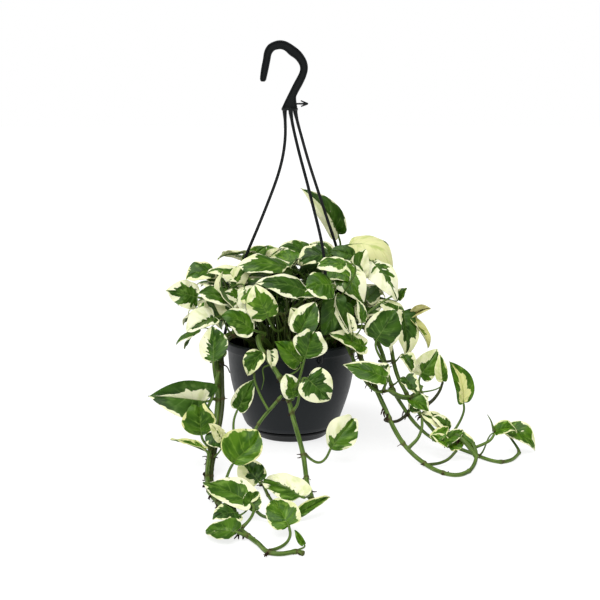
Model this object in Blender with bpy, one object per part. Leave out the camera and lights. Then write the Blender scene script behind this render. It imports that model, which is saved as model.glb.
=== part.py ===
"""A trailing variegated scindapsus in its hanging pot, standing on its drip saucer.

Metres, +Z up. The origin is the centre of the saucer's underside, on the surface
that the pot stands on. The vines spill over the rim and lie along that surface.
"""

import math

import bmesh
import bpy
from mathutils import Matrix, Vector

# ---------------------------------------------------------------- sizes

GAP = 0.0003

RIM_RADIUS = 0.0925
POT_HEIGHT = 0.137
LIP_HEIGHT = 0.0130
LIP_WIDTH = 0.0032
WALL = 0.0018
FOOT_RADIUS = 0.0485
TURNED_STEPS = 32
DRAIN_COUNT = 6
DRAIN_RADIUS = 0.0040
DRAIN_CIRCLE = 0.030

SAUCER_RADIUS = 0.0575
SAUCER_FOOT_RADIUS = 0.0500
SAUCER_HEIGHT = 0.0125
SAUCER_WALL = 0.0014
SAUCER_FLOOR = 0.0030

SOIL_TOP = 0.124
SOIL_EDGE = 0.118
SOIL_RADIUS = 0.0859

HOOK_THICKNESS = 0.0068
HOOK_WEB = 0.0034
HOOK_FLANGE = 0.0022
COLLAR_RADIUS = 0.0112
COLLAR_THICKNESS = 0.0034
COLLAR_CENTRE = Vector((-0.002, 0.0, 0.4530))
SOCKET_LENGTH = 0.0100
SOCKET_RADIUS = 0.0027

STRAND_RADIUS = 0.0019
CLIP_RADIUS = RIM_RADIUS + 0.0024
CLIP_TOE_RADIUS = RIM_RADIUS - 0.0020
CLIP_TOE_HEIGHT = POT_HEIGHT - LIP_HEIGHT - 0.0040

STEM_RADIUS = 0.0027
STEM_TIP_RADIUS = 0.0016
STEM_SIDES = 6
STEM_STEPS = 2
PETIOLE_RADIUS = 0.0014
BLADE_THICKNESS = 0.0011
BLADE_STATIONS = (0.05, 0.17, 0.33, 0.51, 0.69, 0.85, 1.0)
PETIOLE_STATIONS = (0.0, 0.2, 0.4, 0.6, 0.8, 1.0)
LOBE_SWEEP = 0.16
UP = Vector((0.0, 0.0, 1.0))

# The pot's outer wall from the foot to the lip: radius and height.
POT_WALL = (
    (0.0600, 0.0145),
    (0.0645, 0.0165),
    (0.0670, 0.0210),
    (0.0705, 0.0300),
    (0.0765, 0.0470),
    (0.0822, 0.0660),
    (0.0859, 0.0840),
    (0.0880, 0.1020),
    (0.0893, POT_HEIGHT - LIP_HEIGHT),
)

# The hook's middle line in the XZ plane, with half its depth at each point.
HOOK_LINE = (
    (-0.0376, 0.4892, 0.0034),
    (-0.0372, 0.4945, 0.0044),
    (-0.0362, 0.5060, 0.0048),
    (-0.0335, 0.5200, 0.0052),
    (-0.0260, 0.5325, 0.0056),
    (-0.0140, 0.5385, 0.0060),
    (-0.0010, 0.5355, 0.0056),
    (0.0105, 0.5260, 0.0054),
    (0.0170, 0.5120, 0.0054),
    (0.0160, 0.4985, 0.0054),
    (0.0110, 0.4855, 0.0058),
    (0.0050, 0.4730, 0.0064),
    (0.0005, 0.4640, 0.0086),
    (-0.0018, 0.4566, 0.0104),
)

# ---------------------------------------------------------------- routes
# Each strand: the plan angle of its clip, the centre of its socket under the collar, and
# points between collar and rim.
STRANDS = {
    "hanger_strand_left": (
        176, (-0.0088, 0.0012),
        ((-0.0073, 0.0009, 0.432), (-0.0078, 0.0012, 0.412), (-0.0119, 0.0016, 0.385),
         (-0.0202, 0.0022, 0.357), (-0.0307, 0.0028, 0.330), (-0.0419, 0.0034, 0.302),
         (-0.0538, 0.0042, 0.274), (-0.0655, 0.0048, 0.247), (-0.0790, 0.0056, 0.206)),
    ),
    "hanger_strand_front": (
        -65, (-0.0006, -0.0076),
        ((0.0019, -0.0110, 0.432), (0.0066, -0.0150, 0.412), (0.0133, -0.0200, 0.385),
         (0.0208, -0.0262, 0.359), (0.0275, -0.0325, 0.332), (0.0342, -0.0395, 0.306),
         (0.0408, -0.0468, 0.280), (0.0450, -0.0540, 0.253), (0.0466, -0.0640, 0.221),
         (0.0452, -0.0745, 0.186)),
    ),
    "hanger_strand_back": (
        46, (0.0056, 0.0034),
        ((0.0098, 0.0065, 0.432), (0.0154, 0.0095, 0.411), (0.0230, 0.0145, 0.384),
         (0.0321, 0.0205, 0.356), (0.0414, 0.0275, 0.328), (0.0507, 0.0345, 0.299),
         (0.0609, 0.0405, 0.270), (0.0685, 0.0465, 0.243), (0.0715, 0.0560, 0.201)),
    ),
}

# Each stem: its thickness against STEM_RADIUS, and the points it runs through. One
# that starts inside the pot is set down on the soil. A vine's end lies on the surface.
STEMS = {
    "vine_left": (
        1.10,
        ((-0.046, -0.030, 0.126), (-0.060, -0.044, 0.146), (-0.082, -0.064, 0.154),
         (-0.096, -0.084, 0.137), (-0.097, -0.099, 0.111), (-0.095, -0.118, 0.078),
         (-0.097, -0.142, 0.052), (-0.101, -0.170, 0.026), (-0.103, -0.200, 0.009),
         (-0.100, -0.235, 0.004), (-0.094, -0.270, 0.004), (-0.084, -0.300, 0.004),
         (-0.073, -0.330, 0.004), (-0.062, -0.362, 0.004), (-0.053, -0.388, 0.004),
         (-0.043, -0.408, 0.004), (-0.031, -0.430, 0.004), (-0.021, -0.450, 0.003),
         (-0.006, -0.454, 0.003), (0.008, -0.448, 0.003), (0.015, -0.453, 0.003)),
    ),
    "vine_left_twin": (
        0.85,
        ((-0.036, -0.040, 0.126), (-0.052, -0.060, 0.146), (-0.078, -0.078, 0.155),
         (-0.0897, -0.0885, 0.137), (-0.0908, -0.1010, 0.111), (-0.0888, -0.1198, 0.078),
         (-0.0908, -0.1440, 0.052), (-0.0947, -0.1720, 0.026), (-0.0966, -0.2020, 0.009),
         (-0.0936, -0.2365, 0.004), (-0.0877, -0.2715, 0.004), (-0.078, -0.2990, 0.004)),
    ),
    "vine_front": (
        1.05,
        ((-0.022, -0.050, 0.126), (-0.034, -0.070, 0.147), (-0.043, -0.088, 0.156),
         (-0.041, -0.101, 0.146), (-0.031, -0.111, 0.132), (-0.019, -0.119, 0.116),
         (-0.009, -0.126, 0.099), (-0.002, -0.133, 0.079), (0.004, -0.144, 0.057),
         (0.010, -0.158, 0.040), (0.016, -0.178, 0.023), (0.019, -0.205, 0.009),
         (0.021, -0.240, 0.004), (0.025, -0.274, 0.003), (0.027, -0.310, 0.003)),
    ),
    "vine_front_branch": (
        0.85,
        ((-0.0115, -0.127, 0.086), (-0.022, -0.130, 0.074), (-0.036, -0.138, 0.059),
         (-0.046, -0.150, 0.045), (-0.050, -0.166, 0.030), (-0.047, -0.185, 0.016),
         (-0.041, -0.208, 0.007), (-0.033, -0.236, 0.003), (-0.026, -0.275, 0.003),
         (-0.016, -0.311, 0.003), (-0.005, -0.338, 0.003)),
    ),
    "vine_right_short": (
        0.80,
        ((0.030, -0.036, 0.126), (0.052, -0.056, 0.148), (0.072, -0.072, 0.145),
         (0.086, -0.088, 0.118), (0.101, -0.099, 0.096), (0.115, -0.105, 0.086),
         (0.130, -0.105, 0.087), (0.144, -0.102, 0.080), (0.159, -0.101, 0.078),
         (0.169, -0.101, 0.084)),
    ),
    "vine_right_long": (
        0.95,
        ((0.042, -0.026, 0.126), (0.062, -0.044, 0.150), (0.084, -0.060, 0.143),
         (0.096, -0.074, 0.118), (0.107, -0.089, 0.099), (0.117, -0.103, 0.079),
         (0.126, -0.114, 0.060), (0.134, -0.124, 0.043), (0.147, -0.134, 0.023),
         (0.164, -0.148, 0.008), (0.182, -0.178, 0.003), (0.197, -0.197, 0.003),
         (0.212, -0.199, 0.003), (0.227, -0.181, 0.003), (0.238, -0.152, 0.005),
         (0.2405, -0.140, 0.013), (0.2375, -0.129, 0.023)),
    ),
    "vine_right_middle": (
        0.90,
        ((0.050, -0.014, 0.126), (0.076, -0.030, 0.154), (0.105, -0.045, 0.158),
         (0.123, -0.058, 0.128), (0.131, -0.071, 0.099), (0.139, -0.083, 0.078),
         (0.150, -0.093, 0.061), (0.160, -0.099, 0.047), (0.173, -0.106, 0.034),
         (0.189, -0.114, 0.024), (0.206, -0.121, 0.025), (0.215, -0.126, 0.029)),
    ),
    "vine_right_far": (
        0.95,
        ((0.054, 0.002, 0.126), (0.082, -0.006, 0.162), (0.118, -0.016, 0.168),
         (0.135, -0.028, 0.140), (0.140, -0.040, 0.113), (0.146, -0.052, 0.092),
         (0.158, -0.064, 0.070), (0.170, -0.072, 0.053), (0.182, -0.080, 0.038),
         (0.200, -0.088, 0.019), (0.218, -0.094, 0.008), (0.240, -0.110, 0.003),
         (0.256, -0.136, 0.003), (0.272, -0.147, 0.003), (0.289, -0.136, 0.003),
         (0.302, -0.112, 0.004)),
    ),
    "crown_stem_left": (
        0.90,
        ((-0.030, 0.006, 0.126), (-0.044, 0.004, 0.158), (-0.066, -0.004, 0.184),
         (-0.088, -0.014, 0.198), (-0.106, -0.026, 0.200)),
    ),
    "crown_stem_front": (
        0.90,
        ((-0.004, -0.034, 0.126), (-0.006, -0.050, 0.152), (-0.010, -0.066, 0.174),
         (-0.014, -0.078, 0.186)),
    ),
    "crown_stem_top": (
        0.95,
        ((0.014, 0.012, 0.126), (0.026, 0.012, 0.160), (0.044, 0.014, 0.194),
         (0.058, 0.016, 0.224)),
    ),
    "crown_stem_right": (
        0.90,
        ((0.034, 0.026, 0.126), (0.056, 0.024, 0.160), (0.084, 0.020, 0.184),
         (0.112, 0.010, 0.194), (0.136, -0.004, 0.190)),
    ),
    "crown_stem_back": (
        0.90,
        ((-0.006, 0.034, 0.126), (-0.006, 0.054, 0.162), (-0.004, 0.078, 0.184),
         (0.000, 0.104, 0.190)),
    ),
}

# ---------------------------------------------------------------- leaves
# Each leaf: the stem it grows from and how far along, the blade's base and tip,
# the way its upper face looks, its width, and how far it arches (share of length).
LEAVES = {
    "leaf_left_outer": ("crown_stem_left", 1.00, (-0.128, -0.034, 0.200),
                        (-0.169, -0.046, 0.212), (-0.3, -0.8, 0.5), 0.042, 0.06),
    "leaf_left_high": ("crown_stem_left", 0.70, (-0.108, -0.008, 0.232),
                       (-0.145, -0.020, 0.224), (-0.1, -0.6, 0.8), 0.040, 0.12),
    "leaf_left_broad": ("crown_stem_left", 0.45, (-0.074, -0.060, 0.199),
                        (-0.122, -0.076, 0.214), (0.0, -0.5, 0.9), 0.044, 0.05),
    "leaf_left_pale": ("crown_stem_left", 0.80, (-0.101, -0.074, 0.179),
                       (-0.139, -0.086, 0.163), (-0.1, -0.6, 0.8), 0.040, 0.08),
    "leaf_rim_left": ("vine_left", 0.22, (-0.101, -0.118, 0.129),
                      (-0.105, -0.102, 0.174), (-0.3, -1.0, 0.2), 0.042, -0.05),
    "leaf_front_left": ("vine_front", 0.10, (-0.048, -0.104, 0.168),
                        (-0.087, -0.114, 0.192), (0.0, -0.7, 0.7), 0.040, 0.05),
    "leaf_front_bright": ("crown_stem_front", 0.55, (-0.030, -0.100, 0.184),
                          (-0.047, -0.098, 0.227), (0.0, -1.0, 0.3), 0.040, 0.05),
    "leaf_top_long": ("crown_stem_top", 0.72, (0.001, -0.022, 0.238),
                      (-0.073, -0.050, 0.249), (0.0, -0.5, 0.9), 0.048, 0.08),
    "leaf_top_back": ("crown_stem_top", 1.00, (0.024, 0.044, 0.250),
                      (-0.016, 0.040, 0.264), (0.1, -0.5, 0.9), 0.038, 0.08),
    "leaf_top_dark": ("crown_stem_top", 0.90, (0.052, 0.000, 0.254),
                      (0.008, -0.006, 0.243), (0.0, -0.6, 0.8), 0.042, 0.12),
    "leaf_front_high": ("crown_stem_front", 0.90, (0.019, -0.064, 0.214),
                        (-0.045, -0.078, 0.230), (0.0, -0.6, 0.8), 0.042, 0.08),
    "leaf_front_round": ("crown_stem_front", 0.70, (0.054, -0.094, 0.227),
                         (0.020, -0.108, 0.224), (0.0, -0.8, 0.6), 0.044, 0.08),
    "leaf_front_upright": ("crown_stem_front", 0.30, (0.011, -0.118, 0.166),
                           (0.032, -0.106, 0.206), (-0.1, -1.0, 0.2), 0.036, 0.04),
    "leaf_front_heart": ("vine_front", 0.45, (0.018, -0.132, 0.136),
                         (0.030, -0.132, 0.176), (0.0, -1.0, 0.2), 0.046, -0.06),
    "leaf_front_low": ("vine_front", 0.52, (0.021, -0.149, 0.114),
                       (0.051, -0.150, 0.086), (0.1, -1.0, 0.2), 0.046, 0.05),
    "leaf_front_side": ("vine_front_branch", 0.48, (-0.070, -0.112, 0.064),
                        (-0.048, -0.112, 0.104), (-0.2, -1.0, 0.2), 0.027, 0.04),
    "leaf_cascade_outer": ("vine_left", 0.24, (-0.110, -0.134, 0.080),
                           (-0.182, -0.150, 0.092), (0.0, -0.8, 0.5), 0.052, 0.06),
    "leaf_cascade_heart": ("vine_left", 0.36, (-0.112, -0.180, 0.048),
                           (-0.116, -0.170, 0.086), (-0.1, -1.0, 0.2), 0.040, 0.05),
    "leaf_cascade_narrow": ("vine_left", 0.43, (-0.105, -0.214, 0.040),
                            (-0.148, -0.207, 0.051), (-0.1, 0.1, 1.0), 0.028, 0.04),
    "leaf_cascade_large": ("vine_left_twin", 0.97, (-0.067, -0.270, 0.040),
                           (-0.038, -0.254, 0.076), (-0.1, -1.0, 0.4), 0.048, 0.06),
    "leaf_cascade_inner": ("vine_front_branch", 0.70, (-0.037, -0.254, 0.012),
                           (-0.057, -0.236, 0.037), (-0.1, -1.0, 0.5), 0.034, 0.05),
    "leaf_ground_left": ("vine_left", 0.71, (-0.043, -0.350, 0.020),
                         (-0.102, -0.286, 0.022), (-0.1, -0.5, 0.9), 0.044, 0.06),
    "leaf_ground_dark": ("vine_left", 0.76, (-0.056, -0.412, 0.010),
                         (-0.090, -0.396, 0.006), (0.0, -0.3, 1.0), 0.036, 0.06),
    "leaf_ground_tip": ("vine_left", 0.85, (0.000, -0.404, 0.014),
                        (-0.018, -0.370, 0.032), (0.0, -0.8, 0.6), 0.036, 0.06),
    "leaf_ground_pale": ("vine_front", 0.97, (0.014, -0.318, 0.016),
                         (-0.026, -0.262, 0.018), (0.0, -0.4, 0.9), 0.036, 0.05),
    "leaf_front_standing": ("vine_front", 0.70, (0.051, -0.154, 0.022),
                            (0.077, -0.140, 0.054), (0.1, -1.0, 0.2), 0.044, 0.05),
    "leaf_tallest": ("crown_stem_top", 0.55, (0.0664, 0.056, 0.277),
                     (0.0120, 0.052, 0.342), (-0.5, -0.7, 0.4), 0.034, 0.06),
    "leaf_top_yellow": ("crown_stem_right", 0.40, (0.082, 0.046, 0.263),
                        (0.146, 0.036, 0.229), (0.2, -0.7, 0.7), 0.046, 0.18),
    "leaf_right_banded": ("crown_stem_right", 0.35, (0.070, -0.022, 0.248),
                          (0.098, -0.062, 0.200), (0.1, -0.7, 0.7), 0.046, 0.06),
    "leaf_right_white": ("crown_stem_right", 0.62, (0.114, -0.004, 0.244),
                         (0.146, -0.032, 0.198), (0.4, -0.8, 0.4), 0.042, 0.06),
    "leaf_right_low": ("vine_right_short", 0.28, (0.098, -0.084, 0.142),
                       (0.052, -0.096, 0.164), (0.0, -0.5, 0.8), 0.036, 0.06),
    "leaf_right_round": ("vine_right_middle", 0.30, (0.114, -0.078, 0.150),
                         (0.139, -0.076, 0.190), (0.1, -1.0, 0.2), 0.048, 0.05),
    "leaf_right_hanging": ("crown_stem_right", 0.97, (0.154, -0.030, 0.180),
                           (0.158, -0.044, 0.118), (0.4, -1.0, 0.1), 0.034, 0.06),
    "leaf_far_upright": ("vine_right_far", 0.50, (0.176, -0.050, 0.094),
                         (0.200, -0.042, 0.130), (0.1, -1.0, 0.2), 0.034, 0.05),
    "leaf_far_yellow": ("vine_right_far", 0.62, (0.233, -0.072, 0.062),
                        (0.214, -0.062, 0.117), (0.2, -1.0, 0.3), 0.038, 0.05),
    "leaf_right_pointed": ("vine_right_short", 0.62, (0.124, -0.116, 0.108),
                           (0.068, -0.112, 0.124), (0.0, -0.6, 0.7), 0.032, 0.05),
    "leaf_far_tip": ("vine_right_far", 1.00, (0.290, -0.088, 0.030),
                     (0.328, -0.100, 0.006), (0.1, -0.7, 0.7), 0.032, 0.20),
    "leaf_back_left": ("crown_stem_back", 0.55, (-0.064, 0.082, 0.196),
                       (-0.112, 0.118, 0.176), (-0.4, 0.5, 0.8), 0.048, 0.08),
    "leaf_back_middle": ("crown_stem_back", 1.00, (-0.010, 0.124, 0.196),
                         (-0.034, 0.168, 0.168), (-0.1, 0.7, 0.7), 0.050, 0.10),
    "leaf_back_right": ("crown_stem_right", 0.50, (0.058, 0.080, 0.206),
                        (0.098, 0.116, 0.182), (0.4, 0.5, 0.8), 0.048, 0.08),
}

COLOURS = {
    "pot": ((0.043, 0.051, 0.060), 0.45),
    "saucer": ((0.009, 0.010, 0.011), 0.50),
    "hanger": ((0.010, 0.011, 0.012), 0.42),
    "soil": ((0.022, 0.014, 0.009), 0.95),
    "stem": ((0.110, 0.215, 0.045), 0.50),
    "leaf": ((0.060, 0.170, 0.035), 0.38),
}


# ---------------------------------------------------------------- helpers

def clear_scene():
    """Takes away whatever the file holds."""
    for item in list(bpy.data.objects):
        bpy.data.objects.remove(item, do_unlink=True)


def finish_of(name, family):
    """A plain finish for one node."""
    colour, roughness = COLOURS[family]
    material = bpy.data.materials.new(name)
    material.use_nodes = True
    shader = material.node_tree.nodes["Principled BSDF"]
    shader.inputs["Base Color"].default_value = (*colour, 1.0)
    shader.inputs["Roughness"].default_value = roughness
    shader.inputs["Metallic"].default_value = 0.0
    return material


def add_mesh(name, bm, family):
    """Closes the shape's normals outwards and links it as one named object."""
    bmesh.ops.remove_doubles(bm, verts=bm.verts, dist=1e-6)
    bmesh.ops.recalc_face_normals(bm, faces=bm.faces)
    mesh = bpy.data.meshes.new(name)
    bm.to_mesh(mesh)
    bm.free()
    mesh.shade_smooth()
    mesh.set_sharp_from_angle(angle=math.radians(35))
    item = bpy.data.objects.new(name, mesh)
    bpy.context.scene.collection.objects.link(item)
    mesh.materials.append(finish_of(name, family))
    return item


def as_cutter(item):
    """Marks a shape that only cuts or joins another."""
    item.hide_render = True
    item.display_type = "WIRE"
    return item


def boolean(item, other, operation):
    """Cuts or joins another shape with the exact solver."""
    modifier = item.modifiers.new(operation.title(), "BOOLEAN")
    modifier.operation = operation
    modifier.solver = "EXACT"
    modifier.object = as_cutter(other)


def turned(name, profile, family, steps=TURNED_STEPS):
    """A shape of revolution about Z from radius and height points."""
    bm = bmesh.new()
    corners = [bm.verts.new((r, 0.0, z)) for r, z in profile]
    edges = [bm.edges.new(pair) for pair in zip(corners, corners[1:])]
    if profile[0][0] > 0.0:
        edges.append(bm.edges.new((corners[-1], corners[0])))
    bmesh.ops.spin(
        bm, geom=corners + edges, cent=(0, 0, 0), axis=(0, 0, 1),
        angle=math.tau, steps=steps, use_merge=True,
    )
    return add_mesh(name, bm, family)


def smooth_line(points, steps):
    """Points along a Catmull-Rom curve through the given points."""
    spots = [Vector(p) for p in points]
    ends = [2 * spots[0] - spots[1], *spots, 2 * spots[-1] - spots[-2]]
    line = []
    for a, b, c, d in zip(ends, ends[1:], ends[2:], ends[3:]):
        for i in range(steps):
            t = i / steps
            line.append(0.5 * (2 * b + (c - a) * t + (2 * a - 5 * b + 4 * c - d) * t * t
                               + (3 * b - a - 3 * c + d) * t ** 3))
    line.append(spots[-1])
    return line


def tangent_at(line, index):
    """The way the line runs at one of its points."""
    ahead = line[min(index + 1, len(line) - 1)]
    behind = line[max(index - 1, 0)]
    return (ahead - behind).normalized()


def loft(rings):
    """A closed skin over rings that have the same number of points.

    The flat ends of a ribbed section stay one face each, so that they have no slivers.
    """
    bm = bmesh.new()
    rows = [[bm.verts.new(p) for p in ring] for ring in rings]
    count = len(rows[0])
    for low, high in zip(rows, rows[1:]):
        for i in range(count):
            j = (i + 1) % count
            bm.faces.new((low[i], low[j], high[j], high[i]))
    skin = list(bm.faces)
    ends = [bm.faces.new(list(reversed(rows[0]))), bm.faces.new(rows[-1])]
    if count <= 8:
        skin += ends
    bmesh.ops.triangulate(bm, faces=skin, ngon_method="EAR_CLIP")
    return bm


def tube(name, line, radii, family, sides=STEM_SIDES):
    """A closed round tube along a line, turning with it."""
    side = tangent_at(line, 0).cross(UP)
    if side.length < 0.05:
        side = Vector((1.0, 0.0, 0.0))
    rings = []
    for index, (spot, radius) in enumerate(zip(line, radii)):
        along = tangent_at(line, index)
        side = (side - along * side.dot(along)).normalized()
        other = along.cross(side)
        rings.append([
            spot + radius * (side * math.cos(a) + other * math.sin(a))
            for a in (math.tau * k / sides for k in range(sides))
        ])
    return add_mesh(name, loft(rings), family)


# ---------------------------------------------------------------- pot

def inner_wall():
    """The wall's inner side, from the lip down to the pot's floor."""
    points = [(RIM_RADIUS - LIP_WIDTH - 0.0012, POT_HEIGHT - 0.0012),
              (POT_WALL[-1][0] - WALL, POT_WALL[-1][1])]
    points += [(r - WALL, z + 0.0002) for r, z in reversed(POT_WALL[2:-1])]
    points += [(POT_WALL[1][0] - 0.0032, POT_WALL[1][1] + 0.0022)]
    return points


def pot_profile():
    """The pot's section: foot, wall, lip and inside."""
    foot = SAUCER_FLOOR + GAP
    lip_low = POT_HEIGHT - LIP_HEIGHT
    outside = [(0.0, foot), (FOOT_RADIUS, foot), (FOOT_RADIUS + 0.0058, 0.0143)]
    lip = [
        (RIM_RADIUS - 0.0004, lip_low + 0.0004),
        (RIM_RADIUS, lip_low + 0.0016),
        (RIM_RADIUS, POT_HEIGHT - 0.0024),
        (RIM_RADIUS - 0.0010, POT_HEIGHT - 0.0004),
        (RIM_RADIUS - LIP_WIDTH + 0.0002, POT_HEIGHT),
    ]
    floor = [(FOOT_RADIUS + 0.0022, 0.0172), (FOOT_RADIUS - 0.0022, foot + WALL)]
    return outside + list(POT_WALL) + lip + inner_wall() + floor + [(0.0, foot + WALL)]


def soil_height(radius):
    """The soil's height: it falls evenly from the middle to its edge."""
    return SOIL_TOP + (SOIL_EDGE - SOIL_TOP) * radius / SOIL_RADIUS


def soil_profile():
    """The root ball's section: it follows the pot's inside and heaps at the middle."""
    clear = GAP + 0.0003
    foot = SAUCER_FLOOR + GAP + WALL + clear
    walls = [(r - clear, z + clear) for r, z in reversed(inner_wall()[2:])]
    top = [(SOIL_RADIUS * s, soil_height(SOIL_RADIUS * s)) for s in (1.0, 0.67, 0.33)]
    low = [(0.0, foot), (FOOT_RADIUS - 0.0026, foot), (FOOT_RADIUS + 0.0014, 0.0178)]
    return low + walls + top + [(0.0, SOIL_TOP)]


def saucer_profile():
    """The drip saucer's section: a flat foot and a low leaning wall."""
    return [
        (0.0, 0.0),
        (SAUCER_FOOT_RADIUS - 0.0012, 0.0),
        (SAUCER_FOOT_RADIUS, 0.0010),
        (SAUCER_RADIUS, SAUCER_HEIGHT - 0.0006),
        (SAUCER_RADIUS - 0.0004, SAUCER_HEIGHT),
        (SAUCER_RADIUS - SAUCER_WALL, SAUCER_HEIGHT),
        (SAUCER_FOOT_RADIUS + 0.0004, SAUCER_FLOOR),
        (0.0, SAUCER_FLOOR),
    ]


def make_pot():
    """Pot with its drain holes, the saucer under it and the soil inside it."""
    pot = turned("pot", pot_profile(), "pot")
    for k in range(DRAIN_COUNT):
        angle = math.tau * (k + 0.5) / DRAIN_COUNT
        bm = bmesh.new()
        bmesh.ops.create_cone(
            bm, cap_ends=True, segments=10, radius1=DRAIN_RADIUS, radius2=DRAIN_RADIUS,
            depth=0.012,
        )
        spot = (DRAIN_CIRCLE * math.cos(angle), DRAIN_CIRCLE * math.sin(angle), 0.004)
        bmesh.ops.translate(bm, verts=bm.verts, vec=spot)
        boolean(pot, add_mesh(f"drain_cutter_{k + 1}", bm, "pot"), "DIFFERENCE")
    turned("drip_saucer", saucer_profile(), "saucer")
    turned("soil", soil_profile(), "soil")


# ---------------------------------------------------------------- hanger

def hook_section(depth):
    """The arm's I section: two flanges joined by a thinner web."""
    wide = HOOK_THICKNESS / 2
    thin = HOOK_WEB / 2
    inner = depth - HOOK_FLANGE
    return [(depth, -wide), (depth, wide), (inner, wide), (inner - 0.0008, thin),
            (-inner + 0.0008, thin), (-inner, wide), (-depth, wide), (-depth, -wide),
            (-inner, -wide), (-inner + 0.0008, -thin), (inner - 0.0008, -thin),
            (inner, -wide)]


def strand_top(name):
    """Where a strand leaves its socket under the collar."""
    x, y = STRANDS[name][1]
    return Vector((x, y, COLLAR_CENTRE.z - COLLAR_THICKNESS / 2 - SOCKET_LENGTH))


def make_hook():
    """The hook, its gusset, the collar with three sockets and the label barb."""
    rings = []
    line = smooth_line([(x, 0.0, z) for x, z, _ in HOOK_LINE], 2)
    depths = smooth_line([(d, 0.0, 0.0) for _, _, d in HOOK_LINE], 2)
    for index, (spot, depth) in enumerate(zip(line, depths)):
        along = tangent_at(line, index)
        across = along.cross(Vector((0.0, 1.0, 0.0)))
        rings.append([spot + across * a + Vector((0.0, b, 0.0))
                      for a, b in hook_section(depth.x)])
    hook = add_mesh("hanger_hook", loft(rings), "hanger")

    bm = bmesh.new()
    bmesh.ops.create_cone(bm, cap_ends=True, segments=24, radius1=COLLAR_RADIUS,
                          radius2=COLLAR_RADIUS, depth=COLLAR_THICKNESS)
    bmesh.ops.translate(bm, verts=bm.verts, vec=COLLAR_CENTRE)
    boolean(hook, add_mesh("collar_joiner", bm, "hanger"), "UNION")

    for name in STRANDS:
        bm = bmesh.new()
        bmesh.ops.create_cone(bm, cap_ends=True, segments=8, radius1=STRAND_RADIUS * 1.15,
                              radius2=SOCKET_RADIUS, depth=SOCKET_LENGTH)
        middle = strand_top(name) + UP * (SOCKET_LENGTH / 2 + 0.0004)
        bmesh.ops.translate(bm, verts=bm.verts, vec=middle)
        boolean(hook, add_mesh(f"socket_joiner_{name}", bm, "hanger"), "UNION")

    barb = bmesh.new()
    outline = [(0.0060, 0.4606), (0.0130, 0.4606), (0.0118, 0.4572), (0.0140, 0.4566),
               (0.0215, 0.4616), (0.0140, 0.4668), (0.0118, 0.4660), (0.0130, 0.4628),
               (0.0060, 0.4630)]
    face = barb.faces.new([barb.verts.new((x, -0.0011, z)) for x, z in outline])
    grown = bmesh.ops.extrude_face_region(barb, geom=[face])
    lifted = [v for v in grown["geom"] if isinstance(v, bmesh.types.BMVert)]
    bmesh.ops.translate(barb, verts=lifted, vec=(0.0, 0.0022, 0.0))
    boolean(hook, add_mesh("barb_joiner", barb, "hanger"), "UNION")


def make_strands():
    """Three strands from the collar to hooked ends under the pot's lip."""
    for name, (angle, _, between) in STRANDS.items():
        turn = math.radians(angle)
        way = Vector((math.cos(turn), math.sin(turn), 0.0))
        top = strand_top(name) - UP * 3 * GAP
        rim = [way * CLIP_RADIUS + UP * POT_HEIGHT, way * CLIP_RADIUS + UP * 0.1265]
        toe = [way * (CLIP_RADIUS - 0.0010) + UP * (CLIP_TOE_HEIGHT + 0.0006),
               way * CLIP_TOE_RADIUS + UP * CLIP_TOE_HEIGHT]
        line = smooth_line([top, *between, *rim], STEM_STEPS) + toe
        tube(name, line, [STRAND_RADIUS] * len(line), "hanger")


# ---------------------------------------------------------------- plant

def stem_line(name):
    """The smooth middle line of one stem, set down on the soil where it starts there."""
    thickness, points = STEMS[name]
    start, above = Vector(points[0]), Vector(points[1])
    radius = start.xy.length
    if radius < SOIL_RADIUS:
        lean = (above.xy - start.xy).length / (above - start).length
        start.z = soil_height(radius) + STEM_RADIUS * thickness * lean + GAP
    return smooth_line((start, *points[1:]), STEM_STEPS)


def stem_radius(name, share):
    """A stem's radius at a share of its length: it thins towards its tip."""
    taper = STEM_RADIUS + (STEM_TIP_RADIUS - STEM_RADIUS) * share ** 1.5
    return STEMS[name][0] * taper


def make_stems():
    """Every vine and crown stem."""
    for name in STEMS:
        line = stem_line(name)
        last = len(line) - 1
        radii = [stem_radius(name, i / last) for i in range(last + 1)]
        tube(name, line, radii, "stem")


def petiole_start(stem, share, base):
    """A point just off the stem's skin and the way the leaf stalk leaves it."""
    line = stem_line(stem)
    index = min(int(share * (len(line) - 1) + 0.5), len(line) - 1)
    along = tangent_at(line, index)
    reach = base - line[index]
    if share >= 1.0:
        return line[-1] + along * (GAP + 0.0003), along
    away = (reach - along * reach.dot(along)).normalized()
    skin = stem_radius(stem, share) + GAP + 0.0003
    return line[index] + away * skin, away


def blade_width(share):
    """The blade's half width over its length, as a share of the widest."""
    peak = 0.30 ** 0.45 * 0.70 ** 1.05
    return max(share ** 0.45 * (1.0 - share) ** 1.05 / peak, 0.022)


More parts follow.
